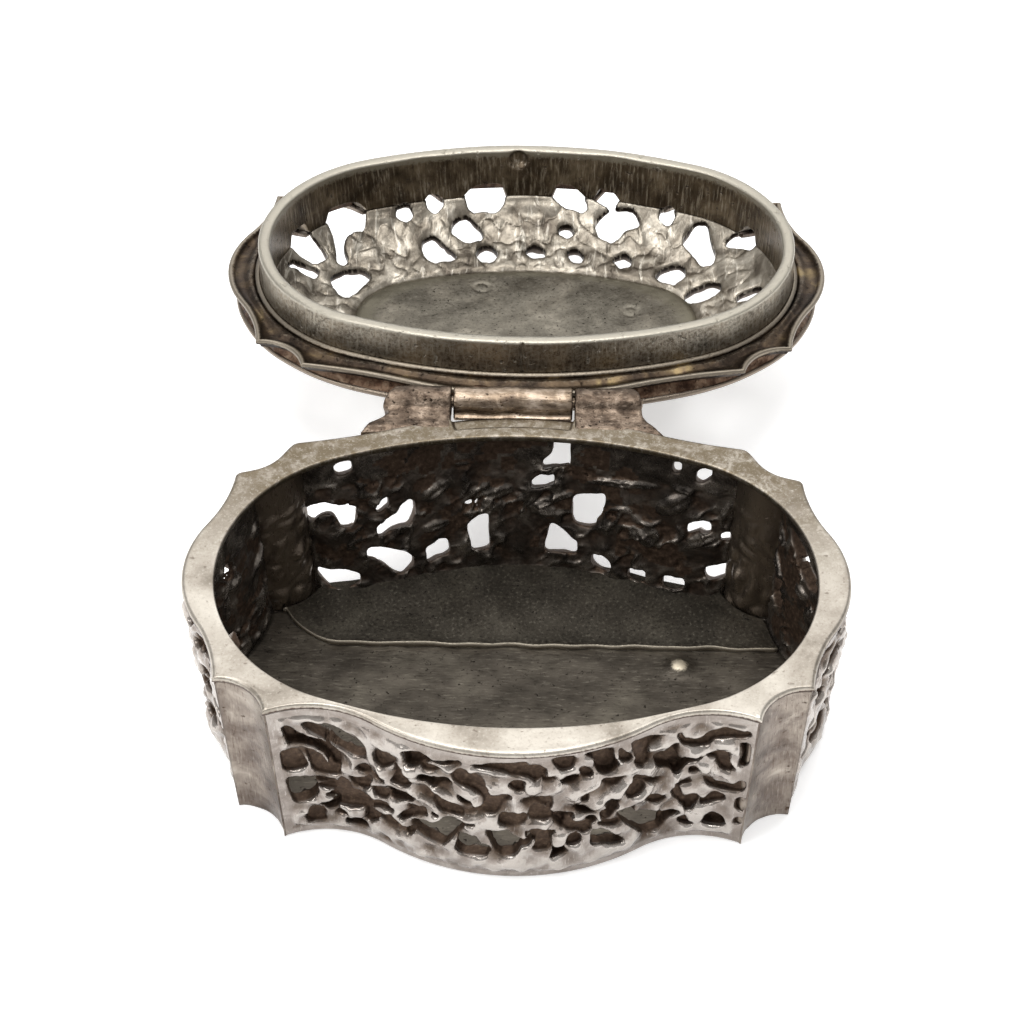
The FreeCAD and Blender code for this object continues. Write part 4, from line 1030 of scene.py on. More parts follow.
def build_flutes():
    """Hollow corners, lightly hammered, each a curved strip with rounded long edges."""
    outer, normals = flute_profile(28)
    rise = np.linspace(0.02, RIM_UNDER, 90)
    signs = {"front_right": (1, 1), "front_left": (-1, 1), "rear_right": (1, -1), "rear_left": (-1, -1)}
    for seed, (name, (sx, sy)) in enumerate(signs.items()):
        across = np.linspace(0, 1, len(outer))
        aa, zz = np.meshgrid(across, rise, indexing="ij")
        dents = (0.05 * ripple((aa * 5, zz), 3.0, 40 + seed)
                 + 0.02 * ripple((aa * 5, zz * 0.5), 0.9, 50 + seed))
        dents = dents * np.sin(math.pi * aa) ** 0.5
        arris = 0.03 * (np.exp(-(aa / 0.05) ** 2) + np.exp(-((1 - aa) / 0.05) ** 2))
        skin = outer[:, None] + normals[:, None] * (dents + arris)[..., None]
        across_corner = outer[-1] - outer[0]
        inward = np.array([-across_corner[1], across_corner[0]]) / np.linalg.norm(across_corner)
        chased = 0.22 * np.abs(ripple((aa * 5, zz), 2.4, 56 + seed)) * (1 - smooth_step(zz, 10.5, 11.5))
        lining = outer[:, None] + inward * (WALL - 0.2 + chased)[..., None]
        scale = taper_at(rise)[None, :, None]
        sheets = [np.concatenate([sheet * scale * [sx, sy], zz[..., None]], -1) for sheet in (skin, lining)]
        rows, columns = zz.shape
        index = np.arange(rows * columns).reshape(rows, columns)
        faces = grid_quads(index)
        faces += [quad[::-1] for quad in grid_quads(index + rows * columns)]
        rim = grid_border(index)
        inner_rim = rim + rows * columns
        faces += [(a, c, d, b) for a, b, c, d in
                  zip(rim, np.roll(rim, -1), inner_rim, np.roll(inner_rim, -1))]
        points = np.concatenate([sheet.reshape(-1, 3) for sheet in sheets])
        # Painted light: the lining inside the box takes the second colour, standing in for light it does not
        # get.
        lining_painted_light = np.repeat([0.0, 1.0], zz.size)
        piece(name + "_hollow", points, faces, "body", [name + "_flute"],
              MATERIALS["flute"], attributes={"edge": lining_painted_light})


def build_rim():
    """Flat polished plate round the mouth, its outer edge rolled over and its inner one softened.

    Between the hinge ears its outer part is filed down to clear the lid's knuckle.
    """
    kernel = np.hanning(17)
    eased = np.convolve(np.pad(OUTLINE_REACH, 8, mode="wrap"), kernel / kernel.sum(), mode="valid")
    edge, mouth = np.where(np.sin(ROUND) > 0, eased, OUTLINE_REACH), mouth_reach(0)
    here = plan(edge)
    filed = smooth_step(here[0], KNUCKLE_LOW[0] - 0.15, KNUCKLE_LOW[0])
    filed = filed * (1 - smooth_step(here[0], KNUCKLE_HIGH[0], KNUCKLE_HIGH[0] + 0.15)) * (here[1] > 0)
    worn = 0.018 * ripple(here, 14.0, 60)
    lip = 0.16 + 0.02 * ripple(here, 6.0, 62)
    outer_top = RIM_TOP - 0.42 * filed
    proud = 1 - filed
    rings = [(edge - 0.05, RIM_UNDER), (edge + 0.08 * proud, RIM_UNDER + 0.05),
             (edge + 0.13 * proud, RIM_UNDER + 0.08), (edge + 0.10 * proud, outer_top - 0.05 - 0.13 * proud),
             (edge, outer_top - 0.04), (edge - lip, outer_top + 0.02 * proud)]
    across = edge - lip - mouth
    for share in (0.12, 0.25, 0.38, 0.5, 0.54, 0.62, 0.72, 0.84, 0.93):
        level = outer_top if share <= 0.5 else RIM_TOP
        rings.append((edge - lip - across * share, level + worn * math.sin(math.pi * share) - 0.01))
    rings += [(mouth + 0.06, RIM_TOP - 0.03), (mouth, RIM_TOP - 0.12),
              (mouth + 0.02, RIM_UNDER), (mouth + 0.10, RIM_UNDER - 0.05)]
    # Painted shade: the dark second colour fills the underside of the rolled edge and the mouth's lower edge.
    underside_shade = [0.9, 0.9, 0.8, 0.15] + [0.0] * (len(rings) - 6) + [0.4, 0.4]
    ring_piece("rim", rings, "body", "rim_plate", "rim", underside_shade)


# The floor's struck bump, and the radius of the lapped sheet's rounded corner.
BUMP_AT = (12.8, 3.75)
SHEET_CORNER = 5.5


def build_floor():
    """Base plate with one struck bump, and the sheet lapped over its rear half."""
    inner = inset_reach(WALL - 0.15)
    foot = inner * BASE_TAPER

    def surface(x, y):
        bump = 0.45 * np.exp(-(((x - BUMP_AT[0]) ** 2 + (y - BUMP_AT[1]) ** 2) / 0.9) ** 1.5)
        return FLOOR_TOP - 0.04 + bump + 0.05 * ripple((x, y), 7.0, 70) + 0.02 * ripple((x, y), 2.0, 71)

    rings = [(foot, 0.12), (foot, 0.4)]
    for share in np.linspace(1, 0.02, 60):
        rings.append((foot * share, surface(*plan(foot * share))))
    points, faces = lay_rings(rings, cap_end=True, cap_start=True)
    # Painted highlight: the bump's top takes the pale cream second colour.
    struck = np.hypot(points[:, 0] - BUMP_AT[0], points[:, 1] - BUMP_AT[1])
    piece("floor", points, faces, "body", ["base_plate"], MATERIALS["floor"],
          attributes={"edge": 0.8 * np.exp(-(struck / 0.7) ** 4)})

    # The sheet: straight front edge, one rounded corner, a wavy lapped lip.
    low, high = corners_mm("rear_floor_sheet")
    x = np.linspace(low[0] + 0.05, high[0] - 0.05, 150)
    share = np.linspace(0, 1, 50)
    rear = np.interp(x, *rear_edge(low, high))
    corner = np.clip((low[0] + SHEET_CORNER - x) / SHEET_CORNER, 0, 1)
    front = SHEET_FRONT + SHEET_CORNER * (1 - np.sqrt(1 - corner ** 2)) + 0.06 * ripple((x,), 5.0, 72)
    front = np.minimum(front, rear - 0.02)
    xx = np.repeat(x[:, None], len(share), 1)
    yy = front[:, None] + (rear - front)[:, None] * share[None, :]
    lift = 0.05 * ripple((xx, yy), 5.0, 73) + 0.12 * np.exp(-(yy - front[:, None]) / 0.5)
    top = np.stack([xx, yy, SHEET_TOP + lift - 0.06], -1)
    under = np.stack([xx, yy, np.full_like(xx, FLOOR_TOP - 0.1)], -1)
    index = np.arange(xx.size).reshape(xx.shape)
    loop = grid_border(index)
    faces = grid_quads(index) + [quad[::-1] for quad in grid_quads(index + xx.size)]
    faces += [(b, a, a + xx.size, b + xx.size) for a, b in zip(loop, np.roll(loop, -1))]
    lit = 0.75 * np.exp(-(yy - front[:, None]) / 0.12)
    piece("lapped_floor_sheet", np.concatenate([top.reshape(-1, 3), under.reshape(-1, 3)]), faces, "body",
          ["rear_floor_sheet"], MATERIALS["sheet"],
          attributes={"edge": np.concatenate([lit.ravel(), lit.ravel()])})


def rear_edge(low, high):
    """Where the floor meets the rear and end walls, as y for each x."""
    inner = inset_reach(WALL + 0.05) * BASE_TAPER
    x, y = plan(inner)
    keep = y > SHEET_FRONT - 0.5
    order = np.argsort(x[keep])
    return x[keep][order], y[keep][order]


# ---------------------------------------------------------------- hinge

PIN_RADIUS = (PIN_HIGH[2] - PIN_LOW[2]) / 2
HINGE_STEP = 0.12
# How far each ear's leaf flares past its knuckle, and the free edge of the lid's rolled sheet: its
# direction from the pin in (y, z) with the lid closed, and how far out it stands.
EAR_FLARE = 1.8
LIP_DIRECTION = (0.9187, 0.395)
LIP_REACH = 1.64
# Outer end of each ear: how far out it reaches (from the middle of the box) at each depth y.
EAR_TIPS = {"left": ((15.2, 12.6), (16.2, 11.9), (16.8, 10.9), (17.2, 10.35), (17.5, 10.4), (17.8, 10.85),
                     (18.3, 10.8), (18.9, 10.5), (19.5, 10.1), (20.2, 9.7)),
            "right": ((15.2, 11.6), (15.9, 10.7), (16.6, 9.95), (17.2, 9.7), (18.2, 9.55), (19.0, 9.3),
                      (19.6, 9.0), (20.2, 8.6))}


def outline_gap(x, y):
    """Distance outside the box's outline, negative within it."""
    angle = np.mod(np.arctan2(y, x) - ROUND[0], 2 * math.pi) + ROUND[0]
    reach = np.interp(angle, ROUND, OUTLINE_REACH, period=2 * math.pi)
    return np.hypot(x, y) - reach


def hinge_grid(low, high):
    axes = [np.arange(a - 3 * HINGE_STEP, b + 3 * HINGE_STEP, HINGE_STEP) for a, b in zip(low, high)]
    return np.meshgrid(*axes, indexing="ij"), np.array([axis[0] for axis in axes])


def build_hinge():
    axis_y, axis_z = HINGE_POINT[1:]
    for seed, (side, flare_end) in enumerate((("left", -1), ("right", 1))):
        low, high = EAR_SPANS[side]
        low, high = (low - EAR_FLARE, high) if flare_end < 0 else (low, high + EAR_FLARE)
        (x, y, z), origin = hinge_grid([low, 15.2, RIM_TOP - 1.6], [high, axis_y + 1.25, axis_z + 1.3])
        outer = np.interp(y, *zip(*EAR_TIPS[side]))
        tip = 0.8 * (x * flare_end - outer - 0.07 * ripple((y, z), 1.6, 80 + seed))
        inner = -(x * flare_end - (low if flare_end > 0 else -high))
        ends = smooth_max(tip, inner, 0.15)
        worn = 0.05 * ripple((x, y, z), 2.4, 84 + seed)
        around = np.hypot(y - axis_y, z - axis_z)
        roll = around - KNUCKLE_RADIUS - worn
        leaf_top = (RIM_TOP + 0.10 - 0.25 * (1 - smooth_step(y, 15.2, 16.0))
                    - 0.06 * smooth_step(-y, -17.2, -16.6))
        leaf = np.maximum(z - leaf_top - 0.5 * worn, RIM_TOP - 0.85 - z)
        leaf = smooth_max(leaf, y - axis_y, 0.1)
        field = smooth_max(smooth_min(roll, leaf, 0.35), ends, 0.12)
        field = smooth_max(field, PIN_RADIUS + 0.08 - around, 0.06)
        field = smooth_max(field, 15.25 - y, 0.08)
        points, faces = surface_nets(field, origin, HINGE_STEP)
        piece(side + "_ear", points, faces, "body", [side + "_hinge_ear"],
              MATERIALS["ear"])

    # The lid's knuckle, drawn closed: its leaf lies on the lid's side of the joint.
    low, high = KNUCKLE_LOW[0] + 0.02, KNUCKLE_HIGH[0] - 0.02
    (x, y, z), origin = hinge_grid([low, 15.2, axis_z - 1.3], [high, axis_y + 1.7, LID_PLANE + 1.1])
    worn = 0.05 * ripple((x, y, z), 2.4, 88)
    around = np.hypot(y - axis_y, z - axis_z)
    leaf = np.maximum(LID_PLANE + 0.02 - z + worn, z - LID_PLANE - 0.85)
    leaf = smooth_max(leaf, y - axis_y, 0.1)
    field = smooth_min(around - KNUCKLE_RADIUS - worn, leaf, 0.3)
    # The rolled sheet's free edge stands off the knuckle; thrown open, it faces the front.
    out_y, out_z = LIP_DIRECTION
    radial = (y - axis_y) * out_y + (z - axis_z) * out_z
    tangent = (z - axis_z) * out_y - (y - axis_y) * out_z
    edge_lip = np.maximum(np.abs(tangent) - 0.17, np.maximum(0.7 - radial, radial - LIP_REACH - 0.3 * worn))
    crease = np.hypot(radial - 1.2, tangent - 0.42) - 0.13
    field = smooth_min(smooth_max(field, -crease, 0.1), edge_lip, 0.12)
    field = smooth_max(field, np.maximum(low - x, x - high), 0.1)
    field = smooth_max(field, PIN_RADIUS + 0.08 - around, 0.06)
    field = smooth_max(field, 0.12 - outline_gap(x, y), 0.08)
    points, faces = surface_nets(field, origin, HINGE_STEP)
    piece("lid_knuckle", swing(points), faces, "lid", ["lid_hinge_knuckle"],
          MATERIALS["hinge"])

    # Pin with hammered, domed ends.
    turns = np.linspace(0, 2 * math.pi, 33)[:-1]
    span = PIN_HIGH[0] - PIN_LOW[0]
    profile = [(0.0, 0.55), (0.05, 0.85), (0.16, 1.0)] + [(d, 1.0) for d in np.linspace(0.6, span - 0.6, 20)]
    profile += [(span - 0.16, 1.0), (span - 0.05, 0.85), (span, 0.55)]
    rings = [np.stack([np.full(32, PIN_LOW[0] + along), axis_y + PIN_RADIUS * size * np.cos(turns),
                       axis_z + PIN_RADIUS * size * np.sin(turns)], 1) for along, size in profile]
    index = np.arange(32 * len(rings)).reshape(len(rings), 32)
    index = np.hstack([index, index[:, :1]])
    faces = [quad[::-1] for quad in grid_quads(index)] + [tuple(index[0, :-1]), tuple(index[-1, :-1][::-1])]
    piece("pin", np.concatenate(rings), faces, "body", ["hinge_pin"], MATERIALS["hinge"])


# ---------------------------------------------------------------- lid

# Openings of the dome in plan, seen from inside the closed lid, +X right and +Y to the hinge.
DOME_OPENINGS = [
    [(-15.6, -2.1), (-14.9, -2.9), (-13.8, -4.7), (-13.6, -5.4), (-14.3, -6.1), (-15.75, -5.6),
     (-16.9, -4.5), (-16.6, -3.4)],
    [(-20.4, -3.3), (-19.8, -3.9), (-18.9, -3.6), (-18.3, -3.6), (-17.9, -4.7), (-19.2, -4.7),
     (-20.1, -4.1)],
    [(-20.4, -5.4), (-19.5, -5.2), (-18.1, -5.4), (-17.25, -6.3), (-17.9, -7.0), (-18.9, -7.3),
     (-19.1, -8.25), (-19.8, -9.5), (-20.3, -8.25), (-20.4, -6.7)],
    [(-16.4, -6.1), (-15.9, -6.1), (-15.6, -6.7), (-16.1, -7.6), (-16, -8.6), (-15.3, -9.3), (-14.3, -9.8),
     (-14.3, -11.4), (-14.8, -11.8), (-16.7, -11.5), (-17.8, -10.4), (-17.7, -9.5), (-16.8, -8.4),
     (-16.5, -7.3)],
    [(-11.5, -11.2), (-10.7, -11.1), (-10.1, -11.6), (-10.75, -12.2), (-11.5, -11.7)],
    [(-8.9, -12.3), (-8.25, -12.0), (-7.5, -12.6), (-7.9, -13.5), (-8.9, -13.25)],
    [(-9.2, -9.0), (-8.7, -7.9), (-7.9, -7.6), (-6.7, -7.9), (-6.2, -8.4), (-7, -9.3), (-8.25, -10.3),
     (-9.1, -9.9)],
    [(-6.75, -10.9), (-6.1, -10.3), (-5, -10.0), (-4, -10.4), (-4.2, -11.2), (-5.4, -12.2), (-6.5, -11.8)],
    [(-4.5, -8.6), (-4.0, -8.0), (-3.1, -8.0), (-2.6, -8.9), (-3.4, -9.9), (-4.3, -9.5)],
    [(-5.2, -12.5), (-2.3, -12.8), (-2.0, -15.0), (-4.5, -14.8), (-5.6, -13.6)],
    [(-0.1, -9.0), (0.5, -8.5), (1.4, -8.6), (1.4, -9.5), (0.5, -10), (-0.1, -9.5)],
    [(3.5, -9.0), (3.9, -8.1), (4.6, -8.0), (4.8, -8.7), (4.25, -9.5), (3.6, -9.4)],
    [(2.7, -11.1), (3.4, -10.6), (4, -10.9), (3.6, -11.7), (2.8, -11.6)],
    [(2.1, -13.6), (3, -13.1), (4.6, -12.6), (5.1, -12.8), (4.6, -13.9), (3.6, -15), (2.1, -15)],
    [(5.5, -13.9), (5.8, -13.25), (7.2, -12.6), (7.7, -12.8), (7.7, -13.6), (6.1, -14.5)],
    [(5.9, -11.4), (6.3, -10.5), (7.2, -10.1), (7.8, -10.3), (8.3, -10.9), (9.25, -11), (9.7, -11.4),
     (9.1, -12.2), (7.1, -12.5), (6, -12)],
    [(7.4, -8.1), (8.1, -7.3), (8.8, -7.5), (9, -8.1), (8.5, -8.9), (7.7, -8.5)],
    [(11.1, -6.1), (11.75, -5.4), (12.5, -5.1), (13.6, -5.75), (13.6, -6.8), (13, -7.3), (11.75, -7)],
    [(11.4, -11.3), (12.2, -10.8), (12.75, -11.2), (12.4, -12.2), (11.6, -11.8)],
    [(14.6, -7.6), (15.2, -6.6), (16, -6.7), (16.2, -7.6), (15.7, -9), (15.5, -10), (14.6, -10.3),
     (13.6, -9.7), (13.6, -8.9)],
    [(13.8, -2.9), (14.7, -2.4), (15.3, -2.6), (16.6, -3.6), (16.6, -4.5), (15.7, -4.7), (14.25, -4.2),
     (13.6, -3.6)],
    [(18, -1.8), (18.9, -1.2), (19.9, -1.1), (20, -2.3), (18.9, -2.5), (18, -2.3)],
    [(17.1, -7.9), (18.2, -7.2), (19.4, -6.3), (19.7, -7.3), (19.6, -8.25), (18.9, -9.2), (18.3, -8.25),
     (17.4, -8.25)],
]
DOME_PROFILE = ((0.0, 0.0), (0.16, 0.4), (0.5, 0.77), (1.0, 1.0))
DOME_STEP = 0.16
DOME_LAYER = 0.14
# A bend under the ledge: the dome's foot runs out as far as the collar.
DOME_SKIRT = 1.2


def all_dome_openings():
    """The openings of the front half, and the same scheme turned about for the hinge side."""
    return DOME_OPENINGS + [[(-a * 0.99, -b * 0.98) for a, b in outline] for outline in DOME_OPENINGS]


def dome_share(x, y):
    """How far a plan point is from the dome's foot (0) towards the medallion (1)."""
    angle = np.arctan2(y, x)
    foot = oval_reach(*DOME_FOOT, angles=angle)
    top = oval_reach(*MEDALLION, angles=angle)
    return (foot - np.hypot(x, y)) / (foot - top)


def dome_height(share):
    """Smooth rise of the dome through its profile points."""
    shares, rises = np.array(DOME_PROFILE).T
    fine = np.linspace(0, 1, 101)
    curve = np.interp(fine, shares, rises)
    kernel = np.hanning(17)
    padded = np.pad(curve, 8, mode="reflect", reflect_type="odd")
    smooth = np.convolve(padded, kernel / kernel.sum(), mode="valid")
    return np.interp(np.clip(share, 0, 1), fine, smooth) * DOME_RISE


def build_dome():
    half = np.array(DOME_FOOT[:2]) + DOME_SKIRT
    x = np.arange(-half[0], half[0], DOME_STEP)
    y = np.arange(-half[1], half[1], DOME_STEP)
    w = np.arange(-0.7, DOME_THICKNESS + 0.85, DOME_LAYER)
    xx, yy = np.meshgrid(x, y, indexing="ij")
    share = dome_share(xx, yy)
    openings = openings_field(xx, yy, all_dome_openings()) - 0.06
    pillow = np.sqrt(np.clip(1 - (1 - np.clip((openings + 0.1) / 0.8, 0, 1)) ** 2, 0, 1))
    wrinkle = ripple((xx, yy * 0.6), 2.2, 90) * 0.5 + ripple((xx, yy), 1.0, 91) * 0.2
    ring = smooth_step(share, 0.02, 0.12) * (1 - smooth_step(share, 0.93, 1.0))
    folds = np.exp(-(np.abs(ripple((xx * 0.8, yy), 2.0, 93)) / 0.22) ** 2)
    inner = -ring * (0.24 * pillow + 0.11 * wrinkle - 0.14 * folds)
    outer = DOME_THICKNESS + ring * (0.16 * pillow + 0.10 * wrinkle - 0.05
                                     + 0.10 * np.abs(ripple((xx, yy), 1.6, 92)))
    www = w[None, None, :]
    field = np.maximum(inner[..., None] - www, www - outer[..., None])
    field = smooth_max(field, -openings[..., None], 0.14)
    foot_gap = -(share * 4.0 + 0.35)
    field = smooth_max(field, foot_gap[..., None], 0.1)
    field = np.maximum(field, (share - 1.0)[..., None] * 3)
    points, faces = surface_nets(field, np.array([x[0], y[0], w[0]]),
                                 np.array([DOME_STEP, DOME_STEP, DOME_LAYER]))
    height = BAND_TOP + dome_height(dome_share(points[:, 0], points[:, 1])) + points[:, 2]
    near = grid_sample(openings, points[:, 0], points[:, 1], x, y)
    recess = (1 - smooth_step(near, -0.05, 0.22)) * smooth_step(points[:, 2], -0.1, 0.15)
    closed = np.stack([points[:, 0], points[:, 1], height], 1)
    piece("dome", swing(closed), faces, "lid", ["lid_dome"], MATERIALS["dome"],
          attributes={"recess": recess, "inner": smooth_step(points[:, 2], 0.3, 0.6)})


# The lid's lower edge runs smoother than its flange: a squarish oval inside the cusps.
LEDGE_OVAL = (24.4, 17.0, 2.2)
LEDGE_OVERHANG = 0.45
# Slope of the openings' upper ends on the collar, height up for each millimetre outwards.
NOTCH_SLOPE = 0.82
NOTCH_LIMIT = 1.25


def ledge_reach():
    length, width, power = LEDGE_OVAL
    oval = (np.abs(np.cos(ROUND) / length) ** power + np.abs(np.sin(ROUND) / width) ** power) ** (-1 / power)
    return smooth_min(oval, OUTLINE_REACH + LEDGE_OVERHANG, 0.3)


def foot_notches():
    """How far the dome's openings run up the wall above its foot, in each direction."""
    foot = oval_reach(*DOME_FOOT)
    x, y = plan(foot)
    heights = np.linspace(0.1, NOTCH_LIMIT, 9)
    away = np.where(y < 0, -1.0, 1.0)
    xs = np.repeat(x[:, None], len(heights), 1)
    ys = y[:, None] + away[:, None] * heights[None, :] / NOTCH_SLOPE
    distance = np.full(xs.shape, 9.0)
    for outline in all_dome_openings():
        distance = np.minimum(distance, outline_distance(xs, ys, rounded(outline)))
    open_here = np.cumprod(distance < 0.05, axis=1)
    notch = open_here.sum(1) * (heights[1] - heights[0])
    kernel = np.hanning(7)
    return np.convolve(np.pad(notch, 3, mode="wrap"), kernel / kernel.sum(), mode="valid")


def build_ledge():
    """Ledge from the band in to the dome's foot, notched where openings run out past the foot."""
    notch = foot_notches()
    edge = ledge_reach()
    cut = np.minimum(2.2 * smooth_step(notch, 0.05, 0.35), np.maximum(edge - oval_reach(*DOME_FOOT) - 1.2, 0))
    foot = oval_reach(*(size + 0.35 for size in DOME_FOOT)) + cut
    across = edge - foot
    here = plan(edge)
    worn = 0.04 * ripple(here, 5.0, 95)
    top = BAND_TOP + LEDGE_THICKNESS
    rings = [(foot, BAND_TOP + 0.02), (foot + across * 0.5, BAND_TOP + 0.02), (edge - 0.14, BAND_TOP),
             (edge - 0.02, BAND_TOP + 0.08), (edge + 0.03, BAND_TOP + 0.2), (edge - 0.02, BAND_TOP + 0.36),
             (edge - 0.16, top - 0.08), (edge - 0.4, top - 0.01), (edge - across * 0.4, top + worn * 0.6),
             (edge - across * 0.7, top + worn), (foot + 0.05, top + 0.03), (foot - 0.05, top - 0.1)]
    lit = [0, 0, 0.6, 0.9, 0.9, 0.5, 0.2, 0, 0, 0, 0, 0]
    ring_piece("lid_ledge", rings, "lid", "lid_dome", "flute", lit)


def build_flange():
    """Face that meets the rim: golden step, dark channel and a thin worn lip."""
    edge, bead = OUTLINE_REACH, mouth_reach(COLLAR_GAP - BEAD_WIDTH)
    across = edge - bead
    here = plan(edge)
    low, high = LID_PLANE, LID_PLANE + FLANGE_THICKNESS
    wander = 0.05 * ripple(here, 3.0, 96)
    lip = np.minimum(0.5, across * 0.4)
    rings = [(bead, high, 0), (bead, low + 0.3, 0), (bead + 0.10 * across, low + 0.18 + wander, 0.35),
             (bead + 0.25 * across, low + 0.2 + wander, 0.3), (bead + across * 0.36, low + 0.42 + wander, 0),
             (edge - lip - 0.1, low + 0.42 + wander, 0), (edge - lip, low + 0.2, 0.1),
             (edge - lip * 0.7, low + 0.05 + wander * 0.4, 0.4), (edge - lip * 0.3, low + 0.02, 0.9),
             (edge - 0.03, low + 0.05, 1), (edge + 0.06, low + 0.16, 1), (edge + 0.04, low + 0.34, 0.4),
             (edge - 0.06, low + 0.45, 0), (edge - 0.3, low + 0.55, 0), (edge - 0.4, high, 0)]
    ring_piece("flange", [ring[:2] for ring in rings], "lid", "lid_flange", "flange",
               [ring[2] for ring in rings])


def build_band():
    """Scooped wall under the flange, running out to the ledge and back in at the cusps."""
    top_edge, low_edge = OUTLINE_REACH - 0.30, ledge_reach() - 0.10
    inner = mouth_reach(COLLAR_GAP - BEAD_WIDTH) + 0.03
    top_edge = np.maximum(top_edge, inner + 0.08)
    here = plan(top_edge)
    pits = np.clip(ripple(here, 1.3, 97), 0, 1)
    low, high = LID_PLANE + 0.5, BAND_TOP + 0.1
    rings = [(inner, high), (inner, low), (top_edge, low)]
    for share in np.linspace(0.1, 0.9, 9):
        hollow = 0.35 * math.sin(math.pi * share) ** 0.8
        reach = top_edge + (low_edge - top_edge) * share - hollow - 0.08 * pits * math.sin(math.pi * share)
        rings.append((np.maximum(reach, inner + 0.04), low + (high - low) * share))
    rings.append((np.maximum(low_edge - 0.1, inner + 0.04), high))
    ring_piece("band", rings, "lid", "lid_band", "band", [0.0] * len(rings))


def build_collar():
    """Oval collar that drops into the mouth, with its snap dimple and the bead at its root."""
    low = LID_PLANE - COLLAR_DROP
    outer, inner = mouth_reach(COLLAR_GAP), mouth_reach(COLLAR_GAP + COLLAR_THICKNESS)
    x, y = plan(outer)
    sag = 0.05 * ripple((x, y), 12.0, 98)
    foot = BAND_TOP - 0.02 - foot_notches()
    shares = np.linspace(0, 1, 40)

    def dimple(level):
        """Snap dimple near the free edge at the front, pressed outwards from inside."""
        along, up = x + 1.0, level - (low + 0.95)
        near = np.exp(-((along ** 2 + up ** 2) / 0.62) ** 2)
        return np.where(y < 0, near, 0.0)

    # The butt joint of the strip shows as a fine slit at the hinge side.
    slit = np.exp(-(x / 0.09) ** 2) * (y > 0)
    levels = [low + 0.15 + (foot - low - 0.15) * share for share in shares]
    # Painted light and shade: the edge value paints a highlight along the free edge, keeps the outer face
    # half lit, and paints shade into the dimple's hollow on the inner face.
    bright = [np.clip(1.0 - (level - low) / 1.1, 0, 1) for level in levels]
    rings = [(outer - 0.35, low + sag * 0.5, x * 0 + 1), (outer - 0.1, low + 0.04 + sag * 0.5, x * 0 + 1)]
    rings += [(outer - 0.02 + 0.16 * dimple(level) - 0.2 * slit, level, np.maximum(lit * 0.8, 0.5))
              for level, lit in zip(levels, bright)]
    rings += [(inner + 0.25, foot, x * 0)]
    rings += [(inner + 0.03 * ripple((x, y), 5.0, 99) + 0.55 * dimple(level) + 0.15 * slit, level,
               np.clip(lit * 1.1 - dimple(level), 0, 1)) for level, lit in zip(levels[::-1], bright[::-1])]
    rings += [(inner + 0.08, low + 0.05 + sag * 0.5, x * 0 + 1), (inner + 0.35, low + sag * 0.5, x * 0 + 1)]
    ring_piece("collar", [ring[:2] for ring in rings], "lid", "lid_collar", "collar",
               [ring[2] for ring in rings])

    root = mouth_reach(COLLAR_GAP + 0.02)
    tip = mouth_reach(COLLAR_GAP - BEAD_WIDTH)
    across = tip - root
    under = np.minimum(BAND_TOP - 0.05, np.maximum(foot - 0.05, LID_PLANE + 0.3))
    rings = [(root, LID_PLANE - 0.05), (root + across * 0.4, LID_PLANE - 0.02),
             (root + across * 0.8, LID_PLANE + 0.06), (tip, LID_PLANE + 0.2), (tip, under), (root, under)]
    ring_piece("bead", rings, "lid", "collar_bead", "flange", [0.2, 0.9, 0.7, 0.2, 0, 0])


# Rings on each face of the medallion, and the middles of its two small ring marks.
MEDALLION_RINGS = 70
MEDALLION_MARKS = ((-3.9, -4.5), (8.9, -1.3))


def build_medallion():
    """Oval plate closing the dome, granular inside, with soft scrolls struck on its outside."""
    low = BAND_TOP + DOME_RISE
    rim = oval_reach(*MEDALLION)
    rings = [(rim + 0.10, low + 0.3), (rim + 0.10, low + 0.12), (rim - 0.05, low + 0.02)]

    def grain(x, y, seed):
        wave = 0.03 * ripple((x, y), 3.0, seed) + 0.006 * ripple((x, y), 1.1, seed + 1)
        for cx, cy in MEDALLION_MARKS:
            d = np.hypot(x - cx, y - cy)
            wave = wave + 0.07 * np.exp(-((d - 0.6) / 0.22) ** 2)
        return wave

    for share in np.linspace(0.97, 0.01, MEDALLION_RINGS):
        rings.append((rim * share, low - 0.02 + grain(*plan(rim * share), 110)))
    points, faces = lay_rings(rings, cap_end=True)
    count = len(points)
    outer = [(rim + 0.10, low + 0.3), (rim + 0.1, low + 0.55), (rim - 0.1, low + 0.68)]
    for share in np.linspace(0.95, 0.01, MEDALLION_RINGS):
        x, y = plan(rim * share)
        scroll = 0.14 * np.abs(ripple((x, y), 2.4, 114)) + 0.05 * grain(x, y, 116)
        outer.append((rim * share, low + 0.58 + scroll * math.sin(math.pi * min(1, 0.2 + share))))
    more, more_faces = lay_rings(outer, cap_end=True)
    faces = [tuple(reversed(f)) for f in faces] + [tuple(i + count for i in f) for f in more_faces]
    all_points = np.vstack([points, more])
    # Painted highlight: the second colour lightens the plate round its rim.
    inset_from_rim = 1 - np.hypot(all_points[:, 0] / MEDALLION[0], all_points[:, 1] / MEDALLION[1])
    piece("medallion", swing(all_points), faces, "lid", ["lid_medallion"],
          MATERIALS["medallion"], attributes={"edge": 1 - smooth_step(inset_from_rim, -0.05, 0.25)})


# ---------------------------------------------------------------- stage, light and camera

# The paper gives off a faint light of its own, which keeps the shadows pale.
PAPER_GLOW = 0.42
TABLE_HALF_WIDTH = 4.0
WORLD_STRENGTH = 0.62
# Soft lamps: name, place in metres, width in metres, power in watts.
LAMPS = (("overhead", (-0.05, 0.02, 0.6), 0.4, 2.4), ("behind", (0.05, 0.55, 0.5), 0.7, 1.9),
         ("window", (-0.45, -0.25, 0.4), 0.25, 1.0))


